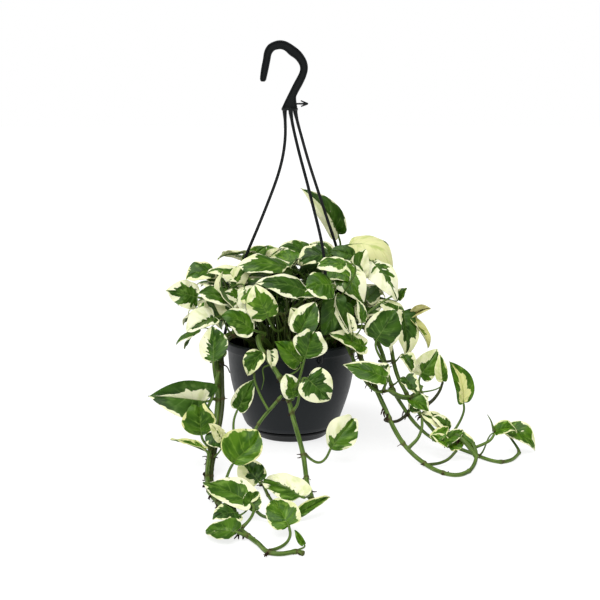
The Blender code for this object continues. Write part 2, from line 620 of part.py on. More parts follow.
def leaf_rings(stem, share, base, tip, face, width, arch):
    """Six-sided sections along the leaf stalk and then along the blade."""
    base = Vector(base)
    tip = Vector(tip)
    length = (tip - base).length
    along = (tip - base).normalized()
    normal = Vector(face)
    normal = (normal - along * normal.dot(along)).normalized()
    start, leaving = petiole_start(stem, share, base)
    blade_way = (along + normal * arch * 3.0).normalized()
    reach = (base - start).length
    handles = (start, start + leaving * reach * 0.35, base - blade_way * reach * 0.30, base)
    stalk = []
    for t in PETIOLE_STATIONS:
        a, b, c, d = handles
        s = 1.0 - t
        stalk.append(a * s ** 3 + b * 3 * s * s * t + c * 3 * s * t * t + d * t ** 3)
    across = along.cross(normal)
    side = across
    frames = []
    for index in range(len(stalk) - 1, -1, -1):
        way = blade_way if index == len(stalk) - 1 else tangent_at(stalk, index)
        if index == 0:
            way = leaving
        side = (side - way * side.dot(way)).normalized()
        frames.append((stalk[index], side, side.cross(way)))
    rings = []
    for spot, sideways, outward in reversed(frames):
        rings.append([
            spot + PETIOLE_RADIUS * (sideways * math.cos(a) + outward * math.sin(a))
            for a in (math.tau * k / 6 + math.pi for k in range(6))
        ])
    for s in BLADE_STATIONS:
        half = width / 2 * blade_width(s)
        middle = base + along * length * s + normal * arch * length * 4 * s * (1 - s)
        back = LOBE_SWEEP * length * max(0.0, 1.0 - s / 0.34) ** 2
        thick = BLADE_THICKNESS / 2 * (1.0 if s < 0.9 else 0.6)
        edge_drop = normal * half * 0.10
        rings.append([
            middle - across * half - along * back - edge_drop,
            middle - across * half * 0.4 - along * back * 0.25 - normal * thick,
            middle + across * half * 0.4 - along * back * 0.25 - normal * thick,
            middle + across * half - along * back - edge_drop,
            middle + across * half * 0.4 - along * back * 0.25 + normal * thick,
            middle - across * half * 0.4 - along * back * 0.25 + normal * thick,
        ])
    return rings


def make_leaves():
    """Every leaf, as one solid of stalk and blade."""
    for name, row in LEAVES.items():
        add_mesh(name, loft(leaf_rings(*row)), "leaf")


def main():
    clear_scene()
    make_pot()
    make_hook()
    make_strands()
    make_stems()
    make_leaves()


main()
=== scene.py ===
"""A trailing variegated scindapsus in its hanging pot: finishes, leaves and studio.

Metres, +Z up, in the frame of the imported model. Stems, stalks, leaves, strands, pot
and saucer are rebuilt in fine detail on the places that the frame's solids give.
"""
import logging
import math
import random
from collections.abc import Callable, Iterable, Sequence
from dataclasses import dataclass, field, replace
from enum import Enum

import bmesh
import bpy
from mathutils import Matrix, Vector, noise


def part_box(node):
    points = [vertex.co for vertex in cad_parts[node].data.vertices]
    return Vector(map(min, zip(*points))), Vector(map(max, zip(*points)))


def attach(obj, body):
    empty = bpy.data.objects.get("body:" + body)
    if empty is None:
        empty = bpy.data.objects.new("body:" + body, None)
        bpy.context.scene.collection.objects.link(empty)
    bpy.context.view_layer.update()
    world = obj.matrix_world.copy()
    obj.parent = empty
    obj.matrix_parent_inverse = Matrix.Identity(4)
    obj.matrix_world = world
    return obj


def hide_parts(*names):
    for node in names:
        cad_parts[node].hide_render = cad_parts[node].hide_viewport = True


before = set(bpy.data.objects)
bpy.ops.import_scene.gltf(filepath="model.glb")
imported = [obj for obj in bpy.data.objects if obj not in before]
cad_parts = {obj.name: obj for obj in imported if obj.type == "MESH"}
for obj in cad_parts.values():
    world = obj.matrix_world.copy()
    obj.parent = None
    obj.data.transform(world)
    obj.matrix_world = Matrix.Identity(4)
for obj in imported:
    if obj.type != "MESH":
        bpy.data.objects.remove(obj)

LOG = logging.getLogger("scindapsus")
BODY = "root"
UP = Vector((0.0, 0.0, 1.0))

Rgb = tuple[float, float, float]
Socket = bpy.types.NodeSocket
Node = bpy.types.Node
Material = bpy.types.Material
Verts = list[bmesh.types.BMVert]
Ring = list[Vector]
Place = tuple[float, ...]


# ---------------- shader nodes

class Graph:
    """Places nodes in one shader tree and joins them."""

    def __init__(self, tree: bpy.types.NodeTree) -> None:
        """Takes the tree to work in.

        Args:
            tree: a material's tree or a node group.
        """
        self.tree = tree
        self.count = 0

    def node(self, kind: str, **settings: object) -> Node:
        """Adds a node.

        Args:
            kind: the node's type name.
            settings: properties to set on it.

        Returns:
            The new node.
        """
        made = self.tree.nodes.new(kind)
        made.location = (180.0 * (self.count // 6), -190.0 * (self.count % 6))
        self.count += 1
        for name, value in settings.items():
            setattr(made, name, value)
        return made

    def feed(self, target: Socket, value: object) -> None:
        """Links a socket, or sets its value.

        Args:
            target: the input to feed.
            value: another node's output, a number, or a colour.
        """
        if isinstance(value, bpy.types.NodeSocket):
            self.tree.links.new(value, target)
        elif isinstance(value, tuple) and len(value) == 3 and target.type == "RGBA":
            target.default_value = (*value, 1.0)
        else:
            target.default_value = value

    def use(self, kind: str, values: dict, out: int = 0, **settings: object) -> Socket:
        """Adds a node and feeds it.

        Args:
            kind: the node's type name.
            values: what feeds its inputs, by number or name.
            out: the number of the output that is wanted.
            settings: properties to set on it.

        Returns:
            The output.
        """
        made = self.node(kind, **settings)
        for key, value in values.items():
            self.feed(made.inputs[key], value)
        return made.outputs[out]

    def math(self, operation: str, first: object, second: object = 0.0,
             clamp: bool = False) -> Socket:
        """One arithmetic step, kept between 0 and 1 if it is clamped."""
        return self.use("ShaderNodeMath", {0: first, 1: second}, operation=operation,
                        use_clamp=clamp)

    def add(self, first: object, second: object) -> Socket:
        """The sum."""
        return self.math("ADD", first, second)

    def minus(self, first: object, second: object) -> Socket:
        """The difference."""
        return self.math("SUBTRACT", first, second)

    def times(self, first: object, second: object) -> Socket:
        """The product."""
        return self.math("MULTIPLY", first, second)

    def lerp(self, share: object, first: object, second: object) -> Socket:
        """Moves from the first number to the second as share goes from 0 to 1."""
        return self.use("ShaderNodeMix", {0: share, 2: first, 3: second}, data_type="FLOAT")

    def blend(self, share: object, first: object, second: object,
              mode: str = "MIX") -> Socket:
        """Mixes two colours; share 0 gives the first and 1 the second."""
        return self.use("ShaderNodeMix", {0: share, 6: first, 7: second}, 2,
                        data_type="RGBA", blend_type=mode)

    def rise(self, value: object, low: float, high: float) -> Socket:
        """A smooth step from 0 at the low value to 1 at the high one."""
        return self.use("ShaderNodeMapRange", {0: value, 1: low, 2: high},
                        interpolation_type="SMOOTHSTEP")

    def vector(self, x: object, y: object, z: object) -> Socket:
        """Joins three numbers to a vector."""
        return self.use("ShaderNodeCombineXYZ", {0: x, 1: y, 2: z})

    def split(self, vector: Socket) -> tuple[Socket, Socket, Socket]:
        """Takes a vector apart.

        Args:
            vector: what is taken apart.

        Returns:
            Its three numbers.
        """
        made = self.node("ShaderNodeSeparateXYZ")
        self.feed(made.inputs[0], vector)
        return made.outputs[0], made.outputs[1], made.outputs[2]

    def noise(self, vector: Socket, scale: float, detail: float = 1.0,
              roughness: float = 0.5) -> Socket:
        """A soft random pattern around one half, with finer layers by its detail."""
        return self.use("ShaderNodeTexNoise", {"Vector": vector, "Scale": scale,
                                               "Detail": detail, "Roughness": roughness})

    def attribute(self, name: str) -> Socket:
        """Reads one of the piece's own vertex attributes as a vector."""
        return self.node("ShaderNodeAttribute", attribute_name=name).outputs["Vector"]


# The sockets of shader groups that aren't plain numbers.
SOCKETS = {"Color": "NodeSocketColor", "Base": "NodeSocketColor", "Rubbed": "NodeSocketColor",
           "Place": "NodeSocketVector", "Skin": "NodeSocketVector"}


class Effect:
    """A shader node group that gives a colour, a roughness and a height, built once."""

    def __init__(self, name: str, *inputs: str) -> None:
        """Makes the group's sockets.

        Args:
            name: the group's name.
            inputs: the names of its inputs.
        """
        self.tree = bpy.data.node_groups.new(name, "ShaderNodeTree")
        for way, labels in (("INPUT", inputs), ("OUTPUT", ("Color", "Roughness", "Height"))):
            for label in labels:
                self.tree.interface.new_socket(
                    label, in_out=way, socket_type=SOCKETS.get(label, "NodeSocketFloat"))
        self.graph = Graph(self.tree)
        self.source = self.graph.node("NodeGroupInput").outputs
        self.sink = self.graph.node("NodeGroupOutput").inputs

    def give(self, **results: object) -> None:
        """Feeds the group's outputs."""
        for label, value in results.items():
            self.graph.feed(self.sink[label], value)

    def place(self, graph: Graph, **values: object) -> Node:
        """Puts the group in a tree.

        Args:
            graph: where it goes.
            values: what feeds its inputs.

        Returns:
            The group's node.
        """
        made = graph.node("ShaderNodeGroup", node_tree=self.tree)
        for label, value in values.items():
            graph.feed(made.inputs[label], value)
        return made


def moulded_effect() -> Effect:
    """Fine grain, soft mottle and pale rubbed spots of moulded plastic.

    Returns:
        The group.
    """
    made = Effect("moulded_plastic", "Place", "Base", "Rubbed", "Gloss")
    g, src = made.graph, made.source
    cloud = g.noise(src["Place"], 14.0, 3.0)
    speck = g.noise(src["Place"], 900.0, 1.0)
    dust = g.noise(src["Place"], 120.0, 4.0, 0.7)
    rubbed = g.times(g.rise(dust, 0.60, 0.78), g.rise(cloud, 0.42, 0.62))
    tint = g.blend(g.times(rubbed, 0.45), src["Base"], src["Rubbed"])
    shade = g.lerp(cloud, 0.88, 1.12)
    grey = g.vector(shade, shade, shade)
    gloss = g.add(src["Gloss"], g.times(g.minus(dust, 0.5), 0.22))
    height = g.add(g.times(speck, 0.6), g.times(dust, 0.4))
    made.give(Color=g.blend(1.0, tint, grey, "MULTIPLY"), Roughness=gloss, Height=height)
    return made


def skin_effect() -> Effect:
    """Green stem skin: long ridges, paler and redder patches, brown scars at the nodes.

    Returns:
        The group.
    """
    made = Effect("stem_skin", "Skin", "Tone", "Scar", "Seed")
    g, src = made.graph, made.source
    turn_x, turn_y, along = g.split(src["Skin"])
    lift = g.times(src["Seed"], 17.3)
    ridge_at = g.vector(g.times(turn_x, 2.6), g.times(turn_y, 2.6),
                        g.add(g.times(along, 22.0), lift))
    patch_at = g.vector(turn_x, turn_y, g.add(g.times(along, 60.0), lift))
    ridge = g.noise(ridge_at, 1.6, 2.0)
    patch = g.noise(patch_at, 1.3, 2.0)
    light = g.blend(g.rise(ridge, 0.36, 0.66), (0.034, 0.074, 0.008), (0.125, 0.205, 0.035))
    pale = g.blend(g.times(g.rise(patch, 0.55, 0.75), 0.50), light,
                   (0.190, 0.255, 0.065))
    dark = g.blend(g.rise(ridge, 0.38, 0.62), (0.011, 0.009, 0.004), (0.036, 0.040, 0.012))
    body = g.blend(src["Tone"], pale, dark)
    crust = g.rise(g.noise(patch_at, 5.0, 3.0, 0.7), 0.42, 0.60)
    scar = g.math("MULTIPLY", src["Scar"], g.lerp(crust, 0.45, 1.0), clamp=True)
    colour = g.blend(scar, body, (0.060, 0.034, 0.014))
    rough = g.lerp(scar, g.lerp(ridge, 0.34, 0.52), 0.85)
    height = g.add(g.times(ridge, 0.7), g.times(crust, 0.3))
    made.give(Color=colour, Roughness=rough, Height=height)
    return made


def marbling_effect() -> Effect:
    """Leaf marbling: green fingers from the midrib over cream, with two greens and veins.

    Returns:
        The group. Across runs from -1 to 1 over the blade, Along from its base to its tip
        on the lines of the side veins.
    """
    made = Effect("leaf_marbling", "Across", "Along", "Under", "Left", "Right", "Bias", "Jag",
                  "Streak", "Wilt", "Tone", "Yellow", "Seed")
    g, src = made.graph, made.source
    across, along, seed = src["Across"], src["Along"], src["Seed"]
    out = g.math("ABSOLUTE", across)
    side = g.math("GREATER_THAN", across, 0.0)
    shift = g.add(g.times(seed, 37.0), g.times(side, 9.0))

    def veined(length: float, width: float, step: float) -> Socket:
        """Coordinates drawn out along the side veins.

        Args:
            length: how often the pattern changes from base to tip.
            width: how often it changes from midrib to edge.
            step: an offset that gives a pattern of its own.

        Returns:
            The vector.
        """
        return g.vector(g.times(along, length), g.times(out, width),
                        g.add(shift, step))

    asked = g.lerp(side, src["Left"], src["Right"])
    outer = g.math("LESS_THAN", asked, 0.0)
    reach = g.add(g.math("ABSOLUTE", asked),
                   g.times(src["Bias"],
                          g.minus(g.times(along, 2.0), 1.0)))
    lobes = g.minus(g.noise(veined(7.0, 1.1, 0.0), 1.0, 0.5), 0.5)
    teeth = g.minus(g.noise(veined(24.0, 2.0, 3.0), 1.0, 1.0), 0.5)
    ragged = g.add(g.times(lobes, 2.3), g.times(teeth, 0.7))
    edge = g.minus(g.add(reach, g.times(src["Jag"], ragged)), out)
    edge = g.lerp(outer, edge, g.times(edge, -1.0))
    green = g.rise(edge, -0.014, 0.022)
    wisps = g.noise(veined(15.0, 1.7, 21.0), 1.0, 1.0)
    streak = g.rise(g.add(wisps, g.times(src["Streak"], 0.3)), 0.85, 0.88)
    fleck = g.rise(g.noise(veined(17.0, 2.2, 41.0), 1.0, 1.0), 0.69, 0.72)
    green = g.times(green, g.minus(1.0, streak))
    green = g.math("MAXIMUM", green, g.times(fleck, g.rise(edge, -0.36, -0.05)))

    mottle = g.noise(veined(5.5, 1.3, 61.0), 1.0, 1.0)
    second = g.rise(mottle, 0.34, 0.68)
    third = g.rise(g.noise(veined(10.0, 2.0, 83.0), 1.0, 2.0), 0.52, 0.74)
    deep = g.blend(src["Tone"], (0.0095, 0.034, 0.001), (0.032, 0.098, 0.001))
    mid = g.blend(src["Tone"], (0.03, 0.084, 0.0065), (0.073, 0.173, 0.0035))
    soft = g.blend(src["Tone"], (0.115, 0.208, 0.048), (0.205, 0.35, 0.038))
    leafy = g.blend(g.times(third, 0.6), g.blend(second, deep, mid), soft)
    vein = g.math("ABSOLUTE", g.math("SINE", g.times(along, 25.1)))
    vein = g.times(g.rise(vein, 0.965, 1.0), g.rise(out, 1.0, 0.25))
    leafy = g.blend(g.times(vein, 0.3), leafy, soft)

    wash = g.noise(veined(6.0, 1.3, 101.0), 1.0, 2.0)
    cream = g.blend(src["Yellow"], (0.79, 0.8, 0.57), (0.6, 0.6, 0.21))
    tinged = g.blend(src["Yellow"], (0.64, 0.67, 0.38), (0.36, 0.44, 0.075))
    cream = g.blend(g.rise(wash, 0.46, 0.68), cream, tinged)
    cream = g.blend(g.times(vein, 0.3), cream, tinged)
    colour = g.blend(green, cream, leafy)
    rib = g.times(g.rise(out, 0.045, 0.01), g.lerp(along, 0.55, 0.15))
    colour = g.blend(rib, colour, (0.2, 0.3, 0.06))
    wilted = g.times(src["Wilt"], g.lerp(g.rise(wash, 0.35, 0.6), 0.35, 1.0))
    colour = g.blend(wilted, colour, (0.3, 0.225, 0.07))
    pale = g.blend(0.45, colour, g.blend(green, (0.6, 0.62, 0.38), (0.1, 0.18, 0.055)))
    colour = g.blend(src["Under"], colour, pale)

    satin = g.add(g.lerp(mottle, 0.25, 0.42), g.times(src["Under"], 0.16))
    quilt = g.times(g.noise(veined(30.0, 6.0, 5.0), 1.0, 2.0), 0.5)
    made.give(Color=colour, Roughness=satin, Height=g.minus(quilt, vein))
    return made


# ---------------- finishes

def shader_of(name: str) -> tuple[Material, Graph, Node]:
    """A new material with its Principled shader.

    Args:
        name: the material's name.

    Returns:
        The material, its graph and the shader node.
    """
    material = bpy.data.materials.new(name)
    material.use_nodes = True
    shader = material.node_tree.nodes["Principled BSDF"]
    return material, Graph(material.node_tree), shader


def dress_shader(graph: Graph, shader: Node, skin: Sequence[Socket],
                 strength: float, relief: float, shine: float) -> None:
    """Feeds a Principled shader.

    Args:
        graph: the material's graph.
        shader: its Principled shader.
        skin: the colour, the roughness and the height.
        strength: how much of the height shows, 0 to 1.
        relief: the height in metres that 1 stands for.
        shine: the specular level.
    """
    bump = graph.use("ShaderNodeBump", {"Strength": strength, "Distance": relief,
                                        "Height": skin[2]})
    for key, value in (("Base Color", skin[0]), ("Roughness", skin[1]), ("Normal", bump),
                       ("Specular IOR Level", shine)):
        graph.feed(shader.inputs[key], value)


@dataclass(frozen=True)
class MouldedFinish:
    """Plain moulded plastic."""

    name: str
    base: Rgb
    rubbed: Rgb
    gloss: float = 0.40
    relief: float = 0.00012

    def material(self, moulded: Effect) -> Material:
        """Builds the material.

        Args:
            moulded: the plastic's node group.

        Returns:
            The material.
        """
        material, graph, shader = shader_of(self.name)
        place = graph.node("ShaderNodeTexCoord").outputs["Object"]
        grain = moulded.place(graph, Place=place, Base=self.base, Rubbed=self.rubbed,
                              Gloss=self.gloss)
        dress_shader(graph, shader, grain.outputs, 0.5, self.relief, 0.20)
        return material


@dataclass(frozen=True)
class StemFinish:
    """Skin of vines, crown stems and leaf stalks."""

    name: str
    relief: float = 0.00025

    def material(self, skin: Effect) -> Material:
        """Builds the material; it reads the attributes "skin" and "look".

        Args:
            skin: the stem skin's node group.

        Returns:
            The material.
        """
        material, graph, shader = shader_of(self.name)
        tone, scar, seed = graph.split(graph.attribute("look"))
        made = skin.place(graph, Skin=graph.attribute("skin"), Tone=tone, Scar=scar, Seed=seed)
        dress_shader(graph, shader, made.outputs, 0.6, self.relief, 0.22)
        return material


@dataclass(frozen=True)
class LeafFinish:
    """Marbled blade and green stalk of a leaf."""

    name: str
    relief: float = 0.00022

    def material(self, marbling: Effect, skin: Effect) -> Material:
        """Builds the material; it reads the leaf's five attributes.

        Args:
            marbling: the blade's node group.
            skin: the stalk's node group.

        Returns:
            The material.
        """
        material, graph, shader = shader_of(self.name)
        across, along, part = graph.split(graph.attribute("blade"))
        left, right, bias = graph.split(graph.attribute("spread"))
        jag, streak, wilt = graph.split(graph.attribute("manner"))
        tone, yellow, seed = graph.split(graph.attribute("look"))
        blade = marbling.place(
            graph, Across=across, Along=along, Under=graph.math("MINIMUM", part, 1.0),
            Left=left, Right=right, Bias=bias, Jag=jag, Streak=streak, Wilt=wilt,
            Tone=tone, Yellow=yellow, Seed=seed)
        stalk = skin.place(graph, Skin=graph.attribute("skin"), Tone=across, Scar=along,
                           Seed=seed)
        is_stalk = graph.math("GREATER_THAN", part, 1.5)
        mixed = [mix(is_stalk, first, second) for mix, first, second in zip(
            (graph.blend, graph.lerp, graph.lerp), blade.outputs, stalk.outputs)]
        dress_shader(graph, shader, mixed, 0.5, self.relief, 0.19)
        shader.inputs["Subsurface Weight"].default_value = 0.05
        shader.inputs["Subsurface Radius"].default_value = (0.0010, 0.0016, 0.0004)
        shader.inputs["Subsurface Scale"].default_value = 1.0
        return material


@dataclass(frozen=True)
class EarthFinish:
    """Moist peat, bark and root fibre."""

    name: str
    dark: Rgb
    light: Rgb
    fineness: float
    relief: float = 0.0008

    def material(self) -> Material:
        """Builds the material on Object coordinates.

        Returns:
            The material.
        """
        material, graph, shader = shader_of(self.name)
        place = graph.node("ShaderNodeTexCoord").outputs["Object"]
        clod = graph.noise(place, self.fineness, 5.0, 0.65)
        fine = graph.noise(place, self.fineness * 6.0, 3.0, 0.7)
        share = graph.times(graph.rise(clod, 0.40, 0.66), graph.lerp(fine, 0.5, 1.2))
        skin = (graph.blend(share, self.dark, self.light), graph.lerp(fine, 0.78, 1.0),
                graph.add(clod, graph.times(fine, 0.4)))
        dress_shader(graph, shader, skin, 0.9, self.relief, 0.15)
        return material


@dataclass(frozen=True)
class FloorFinish:
    """A plain pale studio floor."""

    name: str
    base: Rgb
    # An emission that makes the floor glow: painted light that hides its shadows.
    painted_glow: float = 0.0

    def material(self) -> Material:
        """Builds the material; its even glow is painted light that washes the shadows out of the
        floor and also lights the plant from below.

        Returns:
            The material.
        """
        material, _, shader = shader_of(self.name)
        shader.inputs["Emission Color"].default_value = (1.0, 1.0, 1.0, 1.0)
        shader.inputs["Emission Strength"].default_value = self.painted_glow
        shader.inputs["Base Color"].default_value = (*self.base, 1.0)
        shader.inputs["Roughness"].default_value = 0.9
        shader.inputs["Specular IOR Level"].default_value = 0.1
        return material


@dataclass
class Palette:
    """Every material of the plant, its pot and the studio."""

    leaf: Material
    stem: Material
    root: Material
    pot: Material
    saucer: Material
    hanger: Material
    soil: Material
    bark: Material
    floor: Material

    @classmethod
    def mixed(cls) -> "Palette":
        """Builds the groups and the materials.

        Returns:
            The palette.
        """
        moulded = moulded_effect()
        skin = skin_effect()
        return cls(
            leaf=LeafFinish("marbled_leaf").material(marbling_effect(), skin),
            stem=StemFinish("green_stem").material(skin),
            root=EarthFinish("aerial_root", (0.012, 0.006, 0.003), (0.060, 0.032, 0.015),
                             240.0, 0.0003).material(),
            pot=MouldedFinish("slate_plastic", (0.0082, 0.0108, 0.0130), (0.031, 0.038, 0.045),
                              0.44).material(moulded),
            saucer=MouldedFinish("saucer_plastic", (0.0070, 0.0078, 0.0085),
                                 (0.026, 0.028, 0.030), 0.42).material(moulded),
            hanger=MouldedFinish("hanger_plastic", (0.0058, 0.0072, 0.0076),
                                 (0.030, 0.034, 0.036), 0.30).material(moulded),
            soil=EarthFinish("moist_peat", (0.006, 0.004, 0.003), (0.042, 0.026, 0.015),
                             90.0).material(),
            bark=EarthFinish("bark_bits", (0.016, 0.009, 0.005), (0.095, 0.055, 0.028),
                             160.0, 0.0004).material(),
            # The floor's second number is its glow, painted light that washes out the shadows on
            # it.
            floor=FloorFinish("pale_floor", (0.28, 0.28, 0.28), 0.78).material(),
        )


# ---------------- shapes

def placed(name: str, data: bpy.types.ID) -> bpy.types.Object:
    """Puts a new object in the scene.

    Args:
        name: the object's name.
        data: its mesh, light or camera.

    Returns:
        The object.
    """
    made = bpy.data.objects.new(name, data)
    bpy.context.scene.collection.objects.link(made)
    return made


def face_out(shape: bmesh.types.BMesh, verts: Verts | None = None) -> None:
    """Turns faces outwards: all of them, or those at the given corners."""
    faces = shape.faces if verts is None else {f for v in verts for f in v.link_faces}
    bmesh.ops.recalc_face_normals(shape, faces=list(faces))


def fresh_verts(grown: dict) -> Verts:
    """The corners among what an operator has made."""
    return [item for item in grown["geom"] if isinstance(item, bmesh.types.BMVert)]


def ease(shape: bmesh.types.BMesh, geom: list, offset: float, segments: int = 3,
         affect: str = "EDGES") -> Verts:
    """Rounds edges or corners off, and gives the corners that this makes."""
    return bmesh.ops.bevel(shape, geom=geom, offset=offset, segments=segments, profile=0.5,
                           affect=affect, material=-1, clamp_overlap=True)["verts"]


def plate(shape: bmesh.types.BMesh, outline: Iterable[tuple], start: float,
          thick: float) -> Verts:
    """Makes an upright flat plate.

    Args:
        shape: what it becomes part of.
        outline: its x and z all the way round.
        start: the y of its near face.
        thick: how far back it goes from there.

    Returns:
        Its corners.
    """
    verts = [shape.verts.new((x, start, z)) for x, z in outline]
    lifted = fresh_verts(bmesh.ops.extrude_face_region(shape, geom=[shape.faces.new(verts)]))
    bmesh.ops.translate(shape, verts=lifted, vec=(0.0, thick, 0.0))
    return verts + lifted


def heading(turn: float) -> Vector:
    """The level direction at an angle from X."""
    return Vector((math.cos(turn), math.sin(turn), 0.0))


class Piece:
    """One named piece in the making."""

    def __init__(self, name: str) -> None:
        """Starts an empty shape with the leaf and stem attributes.

        Args:
            name: the finished piece's name.
        """
        self.name = name
        self.shape = bmesh.new()
        self.marks = {
            label: self.shape.verts.layers.float_vector.new(label)
            for label in ("blade", "spread", "manner", "look", "skin")
        }

    def finish(self, material: Material, slot: str,
               replaces: Iterable[str] = (), sharp: float = 50.0) -> bpy.types.Object:
        """Makes the shape a piece that rides on the part.

        Args:
            material: its finish.
            slot: the record's material slot; not used.
            replaces: the CAD nodes that it stands for.
            sharp: edges that turn by more degrees than this stay crisp.

        Returns:
            The piece.
        """
        mesh = bpy.data.meshes.new(self.name)
        self.shape.to_mesh(mesh)
        self.shape.free()
        mesh.shade_smooth()
        mesh.set_sharp_from_angle(angle=math.radians(sharp))
        mesh.materials.append(material)
        made = placed(self.name, mesh)
        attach(made, BODY)
        if replaces:
            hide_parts(*replaces)
        LOG.info("%s: %d faces", self.name, len(mesh.polygons))
        return made


def smooth_line(points: Sequence[Vector], steps: int) -> list[Vector]:
    """Points along a Catmull-Rom curve.

    Args:
        points: what the curve runs through.
        steps: how many points it gets for each span.

    Returns:
        The finer line.
    """
    ends = [2 * points[0] - points[1], *points, 2 * points[-1] - points[-2]]
    line = []
    for a, b, c, d in zip(ends, ends[1:], ends[2:], ends[3:]):
        for i in range(steps):
            t = i / steps
            line.append(0.5 * (2 * b + (c - a) * t + (2 * a - 5 * b + 4 * c - d) * t * t
                               + (3 * b - a - 3 * c + d) * t ** 3))
    line.append(points[-1].copy())
    return line


def lengths_along(line: Sequence[Vector]) -> list[float]:
    """The distance from a line's start to each of its points.

    Args:
        line: the line.

    Returns:
        The distances, from 0 on.
    """
    total = [0.0]
    for a, b in zip(line, line[1:]):
        total.append(total[-1] + (b - a).length)
    return total


def even_line(points: Sequence[Vector], step: float) -> list[Vector]:
    """The same line with points an even step apart.

    Args:
        points: a line.
        step: the wanted distance in metres.

    Returns:
        The new line, with both ends kept.
    """
    run = lengths_along(points)
    count = max(2, round(run[-1] / step))
    line, at = [], 0
    for k in range(count + 1):
        goal = run[-1] * k / count
        while at < len(run) - 2 and run[at + 1] < goal:
            at += 1
        span = max(run[at + 1] - run[at], 1e-9)
        line.append(points[at].lerp(points[at + 1], (goal - run[at]) / span))
    return line


def tangent_at(line: Sequence[Vector], index: int) -> Vector:
    """The way the line runs at one of its points."""
    return (line[min(index + 1, len(line) - 1)] - line[max(index - 1, 0)]).normalized()


def bezier(start: Vector, leaving: Vector, arriving: Vector, end: Vector,
           count: int) -> list[Vector]:
    """A cubic curve.

    Args:
        start: first point.
        leaving: the handle after it.
        arriving: the handle before the end.
        end: last point.
        count: number of spans.

    Returns:
        count + 1 points.
    """
    line = []
    for k in range(count + 1):
        t = k / count
        s = 1.0 - t
        line.append(start * s ** 3 + leaving * 3 * s * s * t + arriving * 3 * s * t * t
                    + end * t ** 3)
    return line


@dataclass
class Tube:
    """A round stalk, stem or strand along a line."""

    line: list[Vector]
    radius: Callable[[float], float]
    sides: int = 10
    look: tuple[float, float, float] = (0.0, 0.0, 0.0)
    scar: Callable[[float], float] | None = None
    ridges: float = 0.0
    part: float = 0.0

    def add_to(self, piece: Piece) -> None:
        """Wraps a grid round the line and closes both ends.

        Args:
            piece: the piece that it becomes part of.
        """
        shape = piece.shape
        last = len(self.line) - 1
        made = bmesh.ops.create_grid(shape, x_segments=self.sides, y_segments=last,
                                     size=1.0)["verts"]
        run = lengths_along(self.line)
        side = tangent_at(self.line, 0).orthogonal()
        for index, spot in enumerate(self.line):
            along = tangent_at(self.line, index)
            side = (side - along * side.dot(along)).normalized()
            other = along.cross(side)
            scar = self.scar(run[index]) if self.scar else self.look[1]
            for k in range(self.sides + 1):
                angle = math.tau * (k % self.sides) / self.sides
                cos, sin = math.cos(angle), math.sin(angle)
                rough = noise.noise((cos * 1.7, sin * 1.7, run[index] * 30 + self.look[2]))
                radius = self.radius(run[index]) * (1.0 + self.ridges * rough)
                vert = made[index * (self.sides + 1) + k]
                vert.co = spot + (side * cos + other * sin) * radius
                vert[piece.marks["skin"]] = (cos, sin, run[index])
                if self.part:
                    vert[piece.marks["blade"]] = (self.look[0], scar, self.part)
                    vert[piece.marks["look"]] = (0.0, 0.0, self.look[2])
                else:
                    vert[piece.marks["look"]] = (self.look[0], scar, self.look[2])
        bmesh.ops.remove_doubles(shape, verts=made, dist=1e-7)
        made = [v for v in made if v.is_valid]
        rims = [e for v in made for e in v.link_edges if e.is_boundary]
        bmesh.ops.holes_fill(shape, edges=list(set(rims)), sides=self.sides)
        face_out(shape, made)


def sections_of(node: str) -> list[Ring]:
    """Reads a lofted CAD solid back as its rings of six points.

    Args:
        node: the CAD node's name.

    Returns:
        The rings in order, from one end cap to the other.

    Raises:
        ValueError: if the node isn't such a loft.
    """
    shape = bmesh.new()
    shape.from_mesh(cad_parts[node].data)
    bmesh.ops.remove_doubles(shape, verts=shape.verts, dist=1e-5)
    shape.normal_update()
    seen: set[bmesh.types.BMFace] = set()
    for face in shape.faces:
        if face in seen:
            continue
        region, todo = {face}, [face]
        while todo:
            for edge in todo.pop().edges:
                for near in edge.link_faces:
                    if near not in region and near.normal.dot(face.normal) > 0.99999:
                        region.add(near)
                        todo.append(near)
        seen |= region
        layers = [{v for f in region for v in f.verts}]
        used = set(layers[0])
        while len(layers[-1]) == 6 and len(region) == 4:
            ahead = {e.other_vert(v) for v in layers[-1] for e in v.link_edges} - used
            if not ahead:
                break
            layers.append(ahead)
            used |= ahead
        if len(used) == len(shape.verts) and all(len(ring) == 6 for ring in layers):
            rings = [[v.co.copy() for v in ring] for ring in layers]
            shape.free()
            return rings
    shape.free()
    raise ValueError(f"{node} is not a loft of six-sided rings")


def centre(ring: Iterable[Vector]) -> Vector:
    """The middle of a ring."""
    spots = list(ring)
    return sum(spots, Vector()) / len(spots)


def reach_of(ring: Ring) -> float:
    """The widest distance across a ring."""
    return max((a - b).length for a in ring for b in ring)


# ---------------- leaves

@dataclass(frozen=True)
class Marking:
    """How a blade is marbled.

    left and right are the green's reach from the midrib (1 is the edge; below 0, the green
    lies outside it), bias moves it towards the tip, jag is how deeply it is lobed, streak
    how much cream runs through it, tone goes from dark to bright green, yellow from white
    cream to yellow cream, and wilt from fresh to brown.
    """

    left: float = 0.75
    right: float = 0.75
    bias: float = 0.0
    jag: float = 0.45
    streak: float = 0.25
    tone: float = 0.45
    yellow: float = 0.25
    wilt: float = 0.0


